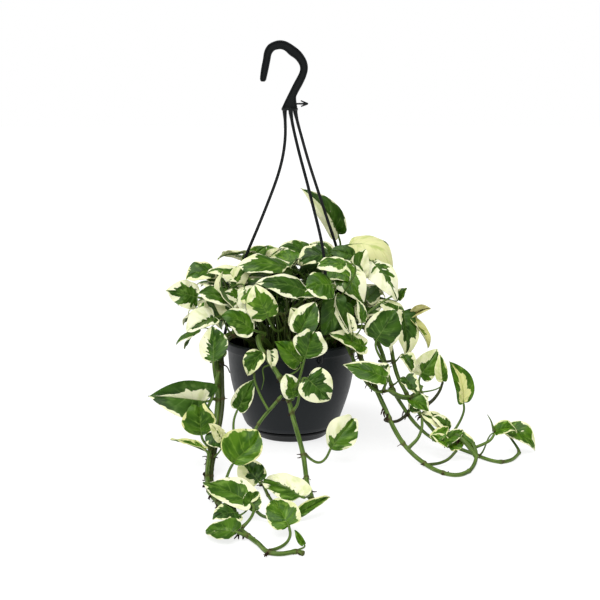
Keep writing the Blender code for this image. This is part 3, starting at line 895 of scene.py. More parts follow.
class Dress(Enum):
    """The common ways in which these leaves are coloured."""

    GREEN = Marking(0.92, 0.95, jag=0.25, streak=0.10, tone=0.55)
    BRIGHT = Marking(0.85, 0.88, jag=0.35, streak=0.10, tone=0.95, yellow=0.60)
    DEEP = Marking(0.86, 0.90, jag=0.40, streak=0.15, tone=0.05)
    MARGINED = Marking(0.66, 0.72, jag=0.45, streak=0.20, tone=0.40)
    SPLIT = Marking(0.35, 0.92, jag=0.40, streak=0.20, tone=0.45)
    SPLASHED = Marking(0.48, 0.52, jag=0.75, streak=0.45, tone=0.25)
    CREAM = Marking(0.14, 0.20, jag=0.55, streak=0.30, tone=0.40)
    YOUNG = Marking(0.40, 0.44, jag=0.50, streak=0.50, tone=0.95, yellow=0.80)
    # A very dark plain green for leaves in the crown's shaded inside: painted shade.
    PAINTED_SHADE = Marking(1.30, 1.40, jag=0.10, streak=0.0, tone=0.0, yellow=0.50)
    WILTED = Marking(0.30, 0.25, jag=0.50, streak=0.60, tone=0.60, yellow=1.0, wilt=0.55)


@dataclass(frozen=True)
class Habit:
    """How a blade is bent.

    fold lifts both halves from the midrib, wave ripples the edge, curl bends the tip
    down, bend sweeps the tip to one side, plump is the outline's fullness, wedge goes
    from a base with two lobes to a wedge-shaped one, and roll is how far the tip rolls
    back under the blade, in radians. bow arches the midrib to one side, lean makes the
    right half wider than the left, wide and long are the blade's size against its
    solid's, and droop is how far the stalk sags, in metres.
    """

    fold: float = -0.06
    wave: float = 0.035
    curl: float = 0.10
    bend: float = 0.0
    plump: float = 1.0
    wedge: float = 0.25
    roll: float = 0.0
    bow: float = 0.0
    lean: float = 0.0
    wide: float = 1.0
    long: float = 1.0
    droop: float = 0.0


# The half outline from the stalk round the lobe to the tip: share of half the width,
# and share of the length.
HALF_OUTLINE = (
    (0.00, 0.000), (0.21, -0.050), (0.50, -0.092), (0.78, -0.062), (0.95, 0.045),
    (1.00, 0.180), (0.985, 0.330), (0.895, 0.490), (0.715, 0.645), (0.455, 0.795),
    (0.200, 0.915), (0.060, 0.975), (0.00, 1.000),
)


# The same for a blade with a wedge-shaped base.
WEDGE_OUTLINE = (
    (0.00, 0.000), (0.16, 0.030), (0.36, 0.085), (0.58, 0.165), (0.78, 0.265),
    (0.93, 0.375), (1.00, 0.485), (0.975, 0.590), (0.87, 0.695), (0.68, 0.800),
    (0.42, 0.895), (0.17, 0.965), (0.00, 1.000),
)

# The share of the blade's length from which a rolled tip turns back, and the radius of a
# large leaf's stalk.
ROLL_FROM = 0.82
LARGE_STALK = 0.0017


@dataclass
class Leaf:
    """One leaf: its stalk, and a blade of real thickness."""

    stalk: list[Vector]
    tip: Vector
    upper: Vector
    width: float
    arch: float
    marking: Marking
    habit: Habit
    seed: float
    rows: int = 24
    columns: int = 16
    thickness: float = 0.00050
    stalk_radius: float = 0.00125
    stalk_dark: float = 0.0
    outline: list[Vector] = field(default_factory=list)

    def __post_init__(self) -> None:
        """Sets the blade's axes and its outline."""
        self.base = self.stalk[-1]
        chord = (self.tip - self.base) * self.habit.long
        self.length = chord.length
        self.along = chord.normalized()
        upper = self.upper - self.along * self.upper.dot(self.along)
        self.upper = upper.normalized()
        self.across = self.along.cross(self.upper)
        self.outline = smooth_line(
            [Vector(lobed).lerp(Vector(wedged), self.habit.wedge).to_3d()
             for lobed, wedged in zip(HALF_OUTLINE, WEDGE_OUTLINE)], 6)

    @classmethod
    def from_node(cls, node: str, marking: Marking, habit: Habit, seed: float) -> "Leaf":
        """Takes a leaf's place, size and arch from its CAD solid.

        Args:
            node: the CAD node.
            marking: its colours.
            habit: its bends.
            seed: what makes it differ from the others.

        Returns:
            The leaf.
        """
        rings = sections_of(node)
        if reach_of(rings[3]) > reach_of(rings[-4]):
            rings.reverse()
        stalk = [centre(ring) - UP * habit.droop * math.sin(math.pi * k / 5)
                 for k, ring in enumerate(rings[:6])]
        blade = rings[6:]
        widest = max(blade, key=reach_of)
        pair = max(((a, b) for a in widest for b in widest),
                   key=lambda ends: (ends[0] - ends[1]).length)
        inner = [spot for spot in widest if spot not in pair]
        tip = centre(blade[-1])
        along = (tip - stalk[-1]).normalized()
        upper = centre(inner) - centre(pair)
        across = (pair[0] - pair[1]).normalized()
        flat = along.cross(across).normalized()
        upper = flat if flat.dot(upper) > 0.0 else -flat
        middle = blade[3]
        apart = max(((a, b) for a in middle for b in middle),
                    key=lambda ends: (ends[0] - ends[1]).length)
        rise = centre(s for s in middle if s not in apart) - stalk[-1]
        length = (tip - stalk[-1]).length
        return cls(
            stalk=smooth_line(stalk, 4), tip=tip, upper=upper,
            width=(pair[0] - pair[1]).length * habit.wide,
            arch=rise.dot(upper) / length, marking=marking, habit=habit, seed=seed,
            stalk_radius=LARGE_STALK)

    def half_edge(self, share: float) -> Vector:
        """The outline at a place along it.

        Args:
            share: 0 at the stalk and 1 at the tip.

        Returns:
            The share of half the width, and of the length.
        """
        at = share * (len(self.outline) - 1)
        low = min(int(at), len(self.outline) - 2)
        return self.outline[low].lerp(self.outline[low + 1], at - low)

    def local_point(self, u: float, v: float) -> Vector:
        """A point of the upper face.

        Args:
            u: -1 at the left edge, 0 on the midrib, 1 at the right edge.
            v: 0 at the base and 1 at the tip, on the line of a side vein.

        Returns:
            Across, along and upwards, in metres.
        """
        out = abs(u)
        sign = 1.0 if u >= 0.0 else -1.0
        edge = self.half_edge(v)
        rib = 0.12 * v + 0.88 * v ** 3
        length, half = self.length, self.width / 2
        plump = self.habit.plump
        lopsided = 1.0 + 0.07 * sign * math.sin(self.seed * 9.1)
        ripple = 1.0 + 0.030 * noise.noise((v * 5.0, sign * 3.0, self.seed * 7.7)) * out
        lopsided += sign * self.habit.lean
        x = sign * out * half * lopsided * ripple * edge.x ** (1.0 / plump)
        y = length * (rib + (edge.y - rib) * out ** 1.25)
        share = min(max(y / length, 0.0), 1.0)
        z = self.arch * length * 4.0 * share * (1.0 - share)
        z += self.habit.fold * abs(x)
        x += self.habit.bend * length * share ** 2 * (1.0 - share) * 2.0
        x += self.habit.bow * length * 4.0 * share * (1.0 - share)
        phase = self.seed * 11.0 + (0.0 if sign > 0 else 2.1)
        z += self.habit.wave * self.width * out ** 2.2 * math.sin(v * 13.0 + phase)
        z += self.habit.wave * self.width * 0.5 * out ** 3 * math.sin(v * 27.0 + phase * 2.0)
        z += 0.022 * self.width * abs(math.sin(v * 12.55)) * out * (1.0 - out) * 4.0
        z -= (0.00035 + 0.010 * self.width) * math.exp(-((out * edge.x / 0.055) ** 2))
        z -= self.habit.curl * length * max(0.0, share - 0.62) ** 2 * 2.6
        z += 0.045 * length * noise.noise((x * 35.0, y * 35.0, self.seed * 5.0)) * out
        puff = math.sin(math.pi * min(abs(x) / half, 1.0)) * share ** 2
        z += 0.045 * self.habit.roll * self.width * puff
        if self.habit.roll and share > ROLL_FROM:
            round_of = (1.0 - ROLL_FROM) * length / self.habit.roll
            turn = (share - ROLL_FROM) * length / round_of
            y = ROLL_FROM * length + (round_of + z) * math.sin(turn)
            z = (round_of + z) * math.cos(turn) - round_of
        return Vector((x, y, z))

    def to_frame(self, spot: Vector) -> Vector:
        """Moves a blade point to its place on the plant."""
        return self.base + self.across * spot.x + self.along * spot.y + self.upper * spot.z

    def add_to(self, piece: Piece) -> None:
        """Builds the blade, the rib under it and the stalk.

        Args:
            piece: the piece that they become part of.
        """
        shape, marks = piece.shape, piece.marks
        made = bmesh.ops.create_grid(shape, x_segments=self.columns, y_segments=self.rows,
                                     size=1.0)["verts"]
        m = self.marking
        for vert in made:
            u, v = vert.co.x, (vert.co.y + 1.0) / 2.0
            spot = self.local_point(u, v)
            vert.co = self.to_frame(spot)
            vert[marks["blade"]] = (u, v, 0.0)
            vert[marks["spread"]] = (m.left, m.right, m.bias)
            vert[marks["manner"]] = (m.jag, m.streak, m.wilt)
            vert[marks["look"]] = (m.tone, m.yellow, self.seed)
            vert[marks["skin"]] = spot
        bmesh.ops.remove_doubles(shape, verts=made, dist=4e-5)
        top = [v for v in made if v.is_valid]
        faces = list({f for v in top for f in v.link_faces})
        for face in faces:
            face.normal_update()
        for vert in top:
            vert.normal_update()
        below = {vert[marks["blade"]].to_tuple(): vert.normal * self.thickness for vert in top}
        edges = list({e for f in faces for e in f.edges})
        grown = bmesh.ops.extrude_face_region(shape, geom=[*top, *edges, *faces],
                                              use_keep_orig=True)
        for vert in fresh_verts(grown):
            u, v, part = vert[marks["blade"]]
            vert.co -= below[u, v, part]
            vert[marks["blade"]] = (u, v, 1.0)
            top.append(vert)
        face_out(shape, top)
        self.add_stalk(piece)

    def add_stalk(self, piece: Piece) -> None:
        """Builds the stalk, which runs on under the blade as its midrib.

        Args:
            piece: the piece that it becomes part of.
        """
        keel = []
        for k in range(1, 9):
            spot = self.local_point(0.0, (k / 8.0) ** 0.55 * 0.93)
            spot.z -= self.thickness + 0.0002
            keel.append(self.to_frame(spot))
        line = self.stalk[:-1] + [self.stalk[-1] - self.upper * self.thickness] + keel
        run = lengths_along(self.stalk)[-1]
        full = lengths_along(line)[-1]
        thick = self.stalk_radius

        def radius(at: float) -> float:
            """The stalk's radius.

            Args:
                at: the distance from its foot, where it is thickest.

            Returns:
                The radius, which is thin at the blade's tip.
            """
            if at <= run:
                foot = 0.55 * math.exp(-at / 0.004)
                return thick * (1.12 - 0.22 * at / run + foot)
            return thick * max(0.62 * (1.0 - (at - run) / (full - run)) ** 0.8, 0.10)

        Tube(line, radius, sides=8, look=(self.stalk_dark, 0.0, self.seed),
             scar=lambda at: math.exp(-at / 0.0025), ridges=0.10, part=2.0).add_to(piece)


# How the forty leaves of the frame are marbled, in hundredths: left, right, bias, jag,
# streak, tone and yellow.
NODE_DRESS: dict[str, tuple[int, ...]] = {
    "left_outer": (78, 55, 5, 60, 15, 35, 10), "left_high": (78, 95, 0, 40, 25, 50, 45),
    "left_broad": (80, 102, 0, 30, 10, 30, 5), "left_pale": (75, 10, 0, 35, 15, 20, 5),
    "rim_left": (40, 90, 0, 60, 25, 25, 10), "front_left": (74, 70, 55, 35, 15, 55, 5),
    "front_bright": (72, 86, -20, 50, 10, 80, 35), "top_long": (96, 66, 0, 60, 15, 62, 10),
    "top_back": (95, 72, -10, 25, 10, 35, 10), "top_dark": (90, 84, -15, 30, 10, 5, 30),
    "front_high": (86, 74, 0, 45, 30, 18, 5), "front_round": (90, 105, 0, 25, 5, 62, 5),
    "front_upright": (66, 98, 0, 25, 10, 40, 5), "front_heart": (80, 78, 0, 20, 10, 45, 5),
    "front_low": (68, 66, -5, 65, 30, 15, 15), "front_side": (80, 92, 10, 25, 10, 30, 15),
    "cascade_outer": (97, -50, 0, 35, 0, 10, 15), "cascade_heart": (94, 90, 0, 20, 10, 55, 80),
    "cascade_narrow": (70, 50, -10, 50, 35, 85, 80), "cascade_large": (92, 92, 0, 18, 5, 90, 75),
    "cascade_inner": (35, 95, 0, 40, 5, 10, 40), "ground_left": (80, 68, 50, 30, 10, 55, 15),
    "ground_dark": (95, 98, 0, 20, 25, 55, 30), "ground_tip": (95, 80, 0, 25, 10, 80, 35),
    "ground_pale": (90, 2, 0, 35, 20, 50, 10), "front_standing": (45, 95, -10, 50, 15, 65, 10),
    "tallest": (6, 96, 0, 20, 30, 10, 20), "top_yellow": (-102, -90, 0, 35, 20, 60, 70),
    "right_banded": (60, 94, 0, 30, 30, 72, 10), "right_white": (35, 5, 35, 95, 30, 40, 3),
    "right_low": (85, 62, 0, 40, 20, 85, 35), "right_round": (86, 90, 0, 25, 10, 20, 10),
    "right_hanging": (98, 40, -35, 55, 20, 5, 35), "far_upright": (30, 90, 0, 45, 30, 60, 25),
    "far_yellow": (-62, -50, 0, 35, 0, 80, 85), "right_pointed": (94, 90, 0, 25, 30, 65, 15),
    "far_tip": (84, 92, 0, 35, 45, 75, 25), "back_left": (70, 60, 0, 50, 25, 45, 15),
    "back_middle": (62, 82, 0, 45, 25, 35, 15), "back_right": (55, 70, 0, 55, 30, 55, 20),
}

# Leaves whose blades are bent in a way of their own: fold, wave, curl and the rest.
NODE_HABIT: dict[str, Habit] = {
    "far_yellow": Habit(0.35, 0.03, 0.05, wedge=0.4, bow=0.1, wide=0.75),
    "ground_tip": Habit(0.12, 0.03, 0.05, plump=1.2, droop=0.004),
    "ground_dark": Habit(0.15, 0.03, 0.0, plump=1.2),
    "left_broad": Habit(-0.05, 0.03, 0.15, plump=1.2, wedge=0.5),
    "right_white": Habit(-0.1, 0.05, 0.2, wedge=0.3),
    "cascade_outer": Habit(0.42, 0.02, 0.05, plump=1.2, wedge=-0.45, lean=-0.28, wide=1.1),
    "cascade_narrow": Habit(0.25, 0.04, 0.0),
    "cascade_heart": Habit(0.1, 0.01, 0.0, wedge=0.75, roll=2.8, lean=-0.12, wide=1.1),
    "cascade_large": Habit(0.15, 0.03, 0.0, bend=0.35, plump=1.1, wedge=0.7, lean=-0.25),
    "front_heart": Habit(0.06, 0.01, 0.0, wedge=1.0, roll=2.8, long=0.95),
    "front_low": Habit(-0.05, 0.03, 0.05, plump=1.15),
    "front_side": Habit(0.2, 0.02, 0.05),
    "front_high": Habit(-0.08, 0.03, 0.25),
    "front_standing": Habit(0.2, 0.03, 0.0, plump=1.1, wedge=0.9, roll=1.2, wide=0.95,
                            long=1.2, droop=0.01),
    "right_round": Habit(-0.08, 0.02, 0.1, plump=1.4),
    "right_hanging": Habit(0.3, 0.06, 0.15),
    "right_pointed": Habit(-0.05, 0.02, 0.05, plump=0.9),
    "top_yellow": Habit(-0.2, 0.04, 0.2, plump=1.15, wedge=0.4, bow=-0.12, wide=1.08),
    "tallest": Habit(0.2, 0.02, 0.1, plump=0.85, wedge=0.15, bow=0.11, lean=0.1, wide=1.05),
    "far_tip": Habit(0.4, 0.03, 0.35, plump=0.8),
    "left_outer": Habit(-0.05, 0.05, 0.15),
    "left_pale": Habit(0.45, 0.03, 0.1, plump=1.2),
    "ground_left": Habit(0.1, 0.03, 0.0, plump=0.85, lean=0.15, wide=0.86),
    "ground_pale": Habit(0.12, 0.03, 0.05, plump=1.4, wide=1.12, long=1.1),
    "front_upright": Habit(0.15, 0.02, 0.05, plump=1.1, wedge=0.35),
}


def shared(numbers: Iterable[float], by: float) -> Place:
    """Each number divided by the same one."""
    return tuple(number / by for number in numbers)


@dataclass(frozen=True)
class SmallLeaf:
    """A smaller leaf between the large ones."""

    group: str
    base: Place
    tip: Place
    upper: Place
    width: float
    marking: Marking
    fold: float = -0.05
    arch: float = 0.06

    @classmethod
    def listed(cls, group: str, *rows: tuple) -> list["SmallLeaf"]:
        """Reads leaves from rows.

        Args:
            group: the piece that they belong to.
            rows: base and tip in millimetres, the way the upper face looks in tenths, the
                width in millimetres, the colours, and then the fold and the arch.

        Returns:
            The leaves.
        """
        return [cls(group, shared(base, 1000), shared(tip, 1000), shared(upper, 10),
                    width / 1000, dress.value if isinstance(dress, Dress) else dress, *bends)
                for base, tip, upper, width, dress, *bends in rows]


D = Dress
SMALL_LEAVES: tuple[SmallLeaf, ...] = (
    *SmallLeaf.listed(
        "left",
        ((-62, -20, 225), (-113, -30, 238), (0, -5, 9), 34, D.MARGINED),
        ((-81, -32, 214), (-56, -36, 247), (-3, -8, 4), 30, D.SPLASHED),
        ((-63, -50, 217), (-52, -75, 182), (-2, -9, 4), 34, D.CREAM),
        ((-73, -76, 187), (-95, -60, 238), (-8, -5, 0), 30, D.SPLIT, 0.7),
        ((-93, -60, 176), (-114, -70, 204), (2, 9, -4), 30, D.DEEP),
        ((-61, -50, 196), (-90, -62, 212), (-2, -7, 7), 30, D.SPLIT),
        ((-100, -6, 222), (-136, -4, 240), (0, -3, 10), 34, D.GREEN),
        ((-90, -80, 140), (-108, -90, 122), (-5, -8, 3), 26, D.GREEN),
        ((-110, -40, 196), (-124, -52, 176), (-6, -7, 4), 28, D.MARGINED),
    ),
    *SmallLeaf.listed(
        "top",
        ((-64, 34, 236), (-36, 36, 262), (0, -9, 3), 30, D.GREEN),
        ((-36, 40, 243), (-16, 42, 258), (1, -8, 5), 20, D.CREAM),
        ((25, 48, 250), (-18, 46, 250), (0, -9, 4), 32, D.GREEN),
        # A leaf in the very dark dress that is painted shade.
        ((88, 20, 250), (53, 20, 256), (0, -8, 5), 24, D.PAINTED_SHADE),
        ((58, 30, 240), (25, 36, 266), (-1, -9, 4), 36, D.DEEP),
        ((68, 0, 220), (40, 0, 242), (-3, -8, 6), 26, D.SPLIT),
        ((90, -20, 219), (102, -18, 264), (0, -9, 3), 28,
         Marking(0.95, 0.5, jag=0.5, streak=0.3, tone=0.25), 0.2),
    ),
    *SmallLeaf.listed(
        "front",
        ((54, -76, 208), (0, -72, 205), (0, -1.5, 10), 34, D.GREEN, 0.3),
        ((12, -115, 127), (-20, -120, 156), (0, -9, 4), 30,
         Marking(0.96, 0.98, jag=0.1, streak=0.0, tone=0.9, yellow=0.7)),
        ((4, -135, 85), (-6, -132, 116), (3, -9, 2), 28,
         Marking(0.62, 0.84, jag=0.25, yellow=0.1)),
        ((-38, -110, 140), (-57, -122, 112), (-3, -9, 4), 28, D.MARGINED, 0.3, 0.16),
        ((-26, -112, 142), (-22, -120, 120), (5, -9, 1), 16, D.CREAM, 0.3),
        ((77, -100, 164), (58, -85, 212), (-8, -6, 2), 9, D.CREAM, 0.7),
        ((81, -100, 166), (75, -95, 190), (5, -8, 2), 13, D.CREAM, 0.4),
        ((94, -80, 175), (88, -70, 204), (3, -9, 2), 13, D.SPLIT, 0.4),
        ((72, -85, 254), (34, -90, 250), (0, -6, 8), 30, D.MARGINED),
    ),
    # Dark leaves in the crown's inside, coloured as painted shade.
    *SmallLeaf.listed(
        "heart_right",
        ((60, -83, 210), (42, -92, 158), (1, -10, 1), 32, D.PAINTED_SHADE),
        ((72, -72, 200), (66, -84, 156), (1, -10, 1), 30, D.PAINTED_SHADE),
    ),
    # Dark leaves in the crown's inside, coloured as painted shade.
    *SmallLeaf.listed(
        "heart_left",
        ((-62, 40, 150), (-56, 46, 196), (0, -10, 1), 36, D.PAINTED_SHADE),
        ((-34, 52, 152), (-24, 56, 200), (1, -10, 1), 38, D.PAINTED_SHADE),
        ((-6, 50, 150), (-2, 58, 196), (-1, -10, 1), 36, D.PAINTED_SHADE),
    ),
    # Dark leaves in the crown's inside, coloured as painted shade.
    *SmallLeaf.listed(
        "heart_right",
        ((26, 52, 152), (22, 56, 200), (1, -10, 1), 38, D.PAINTED_SHADE),
        ((52, 44, 150), (56, 50, 196), (-1, -10, 1), 36, D.PAINTED_SHADE),
        ((78, 30, 152), (82, 36, 200), (2, -10, 1), 36, D.PAINTED_SHADE),
    ),
    *SmallLeaf.listed(
        "front",
        ((56, -34, 240), (78, -52, 226), (0, -6, 8), 32, D.GREEN),
        ((10, -92, 172), (2, -104, 196), (1, -9, 3), 26, D.MARGINED),
        ((-60, -66, 210), (-34, -86, 202), (1, -8, 5), 30, D.BRIGHT),
    ),
    *SmallLeaf.listed(
        "cascade",
        ((-85, -200, 50), (-100, -204, 70), (3, -9, 3), 16,
         Marking(0.1, 0.06, jag=0.3, tone=0.6, yellow=0.55, wilt=0.15)),
        ((-98, -176, 52), (-84, -190, 36), (3, -9, 3), 28, D.DEEP),
        ((16, -430, 4), (6, -424, 17), (-3, -9, 3), 7,
         Marking(1.2, 1.2, jag=0.1, streak=0.0, tone=0.95), 0.6),
        ((10, -352, 6), (47, -318, 18), (0, -6, 8), 14,
         Marking(0.9, 0.98, jag=0.2, tone=0.6, yellow=0.6), 0.4),
        ((-46, -352, 14), (-34, -338, 30), (1, -9, 4), 22, D.GREEN, 0.3),
        ((-58, -352, 10), (-84, -366, 10), (0, -4, 9), 32, D.DEEP),
    ),
    *SmallLeaf.listed(
        "right",
        ((149, 0, 191), (160, 2, 208), (-5, -7, 4), 16, D.DEEP, 0.4),
        ((95, -20, 176), (128, -22, 191), (1, -7, 7), 24, D.SPLIT),
        ((99, -40, 170), (87, -42, 189), (2, -9, 2), 16, D.CREAM, 0.4),
        ((152, -30, 178), (120, -30, 196), (1, -8, 6), 24, D.SPLASHED),
        ((103, -20, 194), (123, 0, 213), (2, 7, -6), 26, D.DEEP),
        ((163, -25, 171), (192, -25, 183), (0, -8, 5), 14,
         Marking(0.2, 0.3, bias=0.3, jag=0.6, tone=0.1, yellow=0.7, wilt=0.55), 1.5, 0.1),
        ((163, -30, 170), (190, -36, 130), (6, -8, 3), 13,
         Marking(0.25, 0.2, jag=0.4, tone=0.9, yellow=0.9, wilt=0.25), 1.3),
        ((153, -60, 125), (164, -70, 103), (6, -8, 2), 24, D.MARGINED, 0.3),
        ((202, -90, 96), (197, -85, 131), (-4, -9, 2), 18,
         Marking(0.1, 0.85, jag=0.2, tone=0.5, yellow=0.7), 0.3),
        ((107, -98, 104), (130, -88, 120), (0, -8, 6), 28, D.DEEP),
        ((152, -90, 101), (170, -102, 83), (4, -8, 5), 24, D.DEEP, 0.4),
        ((156, -100, 76), (182, -110, 61), (3, -8, 6), 24, D.GREEN, 0.3),
        ((158, -100, 58), (182, -100, 78), (0, -8, 5), 22, D.MARGINED),
    ),
    *SmallLeaf.listed(
        "far",
        ((204, -110, 40), (172, -112, 58), (0, -8, 6), 20, D.SPLASHED, 0.3),
        ((208, -118, 37), (186, -116, 55), (0, -8, 6), 17, D.SPLIT, 0.3),
        ((198, -130, 24), (226, -122, 40), (0, -7, 7), 18, D.GREEN, 0.3),
        ((186, -130, 28), (206, -122, 44), (-2, -8, 6), 17, D.BRIGHT, 0.3),
        ((206, -132, 18), (227, -124, 28), (1, -8, 5), 18, D.BRIGHT, 0.3),
        ((205, -134, 22), (184, -130, 34), (0, -7, 7), 16, D.BRIGHT, 0.4),
        ((219, -120, 34), (240, -138, 10), (5, -8, 4), 13, D.BRIGHT, 0.5),
        ((268, -112, 32), (301, -104, 31), (0, -6, 8), 20, D.BRIGHT, 0.3, 0.22),
    ),
)


@dataclass(frozen=True)
class Shoot:
    """A side stalk that crosses between the vines.

    Its points are in millimetres; radius and tip, its thickness at both ends, in metres.
    """

    points: tuple[tuple[int, int, int], ...]
    radius: float
    tip: float
    dark: float = 0.0


SHOOTS: tuple[Shoot, ...] = (
    Shoot(((124, -112, 49), (133, -110, 46), (143, -106, 47), (153, -100, 53),
           (158, -94, 59)), 0.0021, 0.0019, 1.0),
    Shoot(((181, -94, 65), (190, -92, 72), (198, -90, 83), (202, -90, 95)), 0.0024, 0.0017, 0.9),
    Shoot(((156, -136, 21), (166, -128, 29), (172, -118, 40), (173, -110, 52)), 0.0025, 0.0018),
    Shoot(((241, -129, 17), (253, -124, 20), (263, -118, 24), (269, -112, 31)), 0.0022, 0.0017),
    Shoot(((268, -112, 34), (264, -112, 47), (259, -110, 56)), 0.0019, 0.0004),
    Shoot(((217, -127, 33), (227, -134, 25), (235, -140, 16), (241, -145, 8)), 0.0028, 0.0033),
    Shoot(((178, -165, 5), (192, -158, 5), (204, -150, 8), (215, -141, 16)), 0.0022, 0.0019, 0.4),
    Shoot(((132, -88, 83), (142, -94, 77), (155, -98, 75), (168, -96, 80),
           (174, -92, 91)), 0.0031, 0.0024),
    Shoot(((118, -70, 119), (128, -64, 117), (138, -58, 117)), 0.0018, 0.0017, 0.8),
    Shoot(((-94, -118, 117), (-98, -126, 97), (-103, -131, 82), (-107, -134, 73)), 0.0026, 0.002),
    Shoot(((-92, -105, 123), (-84, -107, 120), (-80, -109, 112)), 0.0014, 0.0007, 1.0),
    Shoot(((-40, -350, 14), (-30, -355, 7), (-19, -360, 6)), 0.002, 0.0018),
    Shoot(((-48, -121, 115), (-46, -126, 103), (-38, -133, 85), (-29, -139, 70)), 0.0014, 0.0018),
    Shoot(((-36, -122, 121), (-35, -126, 107), (-38, -128, 94)), 0.0013, 0.0004),
    Shoot(((96, -71, 180), (107, -67, 188), (121, -60, 197), (136, -50, 204)), 0.0017, 0.0013),
)


@dataclass
class Vine:
    """One stem, read back from its CAD solid and given nodes, scars and roots."""

    node: str
    girth: float = 1.12
    tip_share: float = 0.0
    step: float = 0.0016
    sides: int = 10
    joint_gap: float = 0.042
    line: list[Vector] = field(default_factory=list)
    joints: list[float] = field(default_factory=list)

    def __post_init__(self) -> None:
        """Reads the line and its thickness."""
        rings = sections_of(self.node)
        if reach_of(rings[0]) < reach_of(rings[-1]):
            rings.reverse()
        spots = [centre(ring) for ring in rings]
        self.first = sum((v - spots[0]).length for v in rings[0]) / 6
        self.last = max(sum((v - spots[-1]).length for v in rings[-1]) / 6,
                        self.first * self.tip_share)
        if self.from_soil(spots[0]):
            below = spots[0] - UP * 0.004
            spots = [below, *spots]
        self.line = even_line(smooth_line(spots, 4), self.step)
        for spot in self.line:
            spot.z = max(spot.z, self.last * self.girth * 1.2)
        self.run = lengths_along(self.line)

    @staticmethod
    def from_soil(spot: Vector) -> bool:
        """Whether a stem that starts here grows out of the pot."""
        low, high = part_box("soil")
        return spot.xy.length < (high[0] - low[0]) / 2

    def nearest(self, spot: Vector) -> tuple[float, int]:
        """The distance to the line, and the index of its nearest point."""
        return min(((p - spot).length, k) for k, p in enumerate(self.line))

    def add_joints(self, feet: Iterable[Vector], rng: random.Random) -> None:
        """Sets the joints where leaves stand, and between them where the gap is long.

        Args:
            feet: where leaf stalks start.
            rng: the plant's own random numbers.
        """
        found = sorted(self.run[k] for d, k in map(self.nearest, feet) if d < 0.006)
        self.joints = []
        for at in [0.006, *found, self.run[-1]]:
            while self.joints and at - self.joints[-1] > self.joint_gap * 1.6:
                self.joints.append(self.joints[-1] + self.joint_gap * rng.uniform(0.85, 1.15))
            if not self.joints or at - self.joints[-1] > 0.008:
                self.joints.append(at)

    def radius(self, at: float) -> float:
        """The stem's radius at a distance from its foot.

        Args:
            at: the distance in metres.

        Returns:
            The radius, swollen at the joints.
        """
        plain = self.first + (self.last - self.first) * (at / self.run[-1]) ** 1.5
        swell = sum(math.exp(-((at - j) / 0.0026) ** 2) for j in self.joints if abs(at - j) < 0.01)
        waist = sum(math.exp(-((at - j - 0.0036) / 0.0011) ** 2) for j in self.joints
                    if abs(at - j) < 0.01)
        return plain * self.girth * (1.0 + 0.24 * min(swell, 1.0) - 0.07 * min(waist, 1.0))

    def scar(self, at: float) -> float:
        """How brown the skin is at a distance from the foot."""
        near = min((abs(at - j - 0.0022) for j in self.joints), default=1.0)
        return math.exp(-((near / 0.0022) ** 2))

    def build(self, palette: Palette, look: float, seed: float) -> None:
        """Makes the stem a piece.

        Args:
            palette: the materials.
            look: 0 for green, 1 for dark.
            seed: what makes its skin differ.
        """
        piece = Piece(f"{self.node}_skin")
        tip = self.line[-1] + tangent_at(self.line, len(self.line) - 1) * 0.0012
        Tube([*self.line, tip], lambda at: self.radius(min(at, self.run[-1]))
             * (1.0 if at <= self.run[-1] else 0.45), sides=self.sides,
             look=(look, 0.0, seed), scar=self.scar, ridges=0.13).add_to(piece)
        piece.finish(palette.stem, "stem", [self.node])


# The girth of single vines against their solids, and the least share left at their tips.
VINE_GIRTH: dict[str, tuple[float, float]] = {
    "vine_front": (1.20, 0.85), "vine_front_branch": (0.95, 0.80),
    "vine_left": (1.38, 0.0), "vine_left_twin": (1.38, 0.0),
    "vine_right_short": (1.25, 0.70), "vine_right_long": (1.30, 0.75),
    "vine_right_middle": (1.25, 0.70), "vine_right_far": (1.22, 0.70),
}


# Tufts of older roots: a place on a vine, how many, and their greatest length.
TUFTS = (
    ((-0.101, -0.178, 0.021), 5, 0.018), ((-0.103, -0.200, 0.009), 4, 0.012),
    ((-0.100, -0.236, 0.004), 3, 0.012), ((-0.090, -0.282, 0.004), 4, 0.014),
    ((-0.080, -0.308, 0.004), 4, 0.020), ((-0.050, -0.396, 0.004), 4, 0.018),
    ((-0.022, -0.450, 0.004), 2, 0.008), ((0.125, -0.112, 0.062), 4, 0.008),
    ((0.105, -0.094, 0.092), 3, 0.008), ((0.152, -0.094, 0.058), 4, 0.007),
    ((0.212, -0.125, 0.028), 6, 0.012),
)


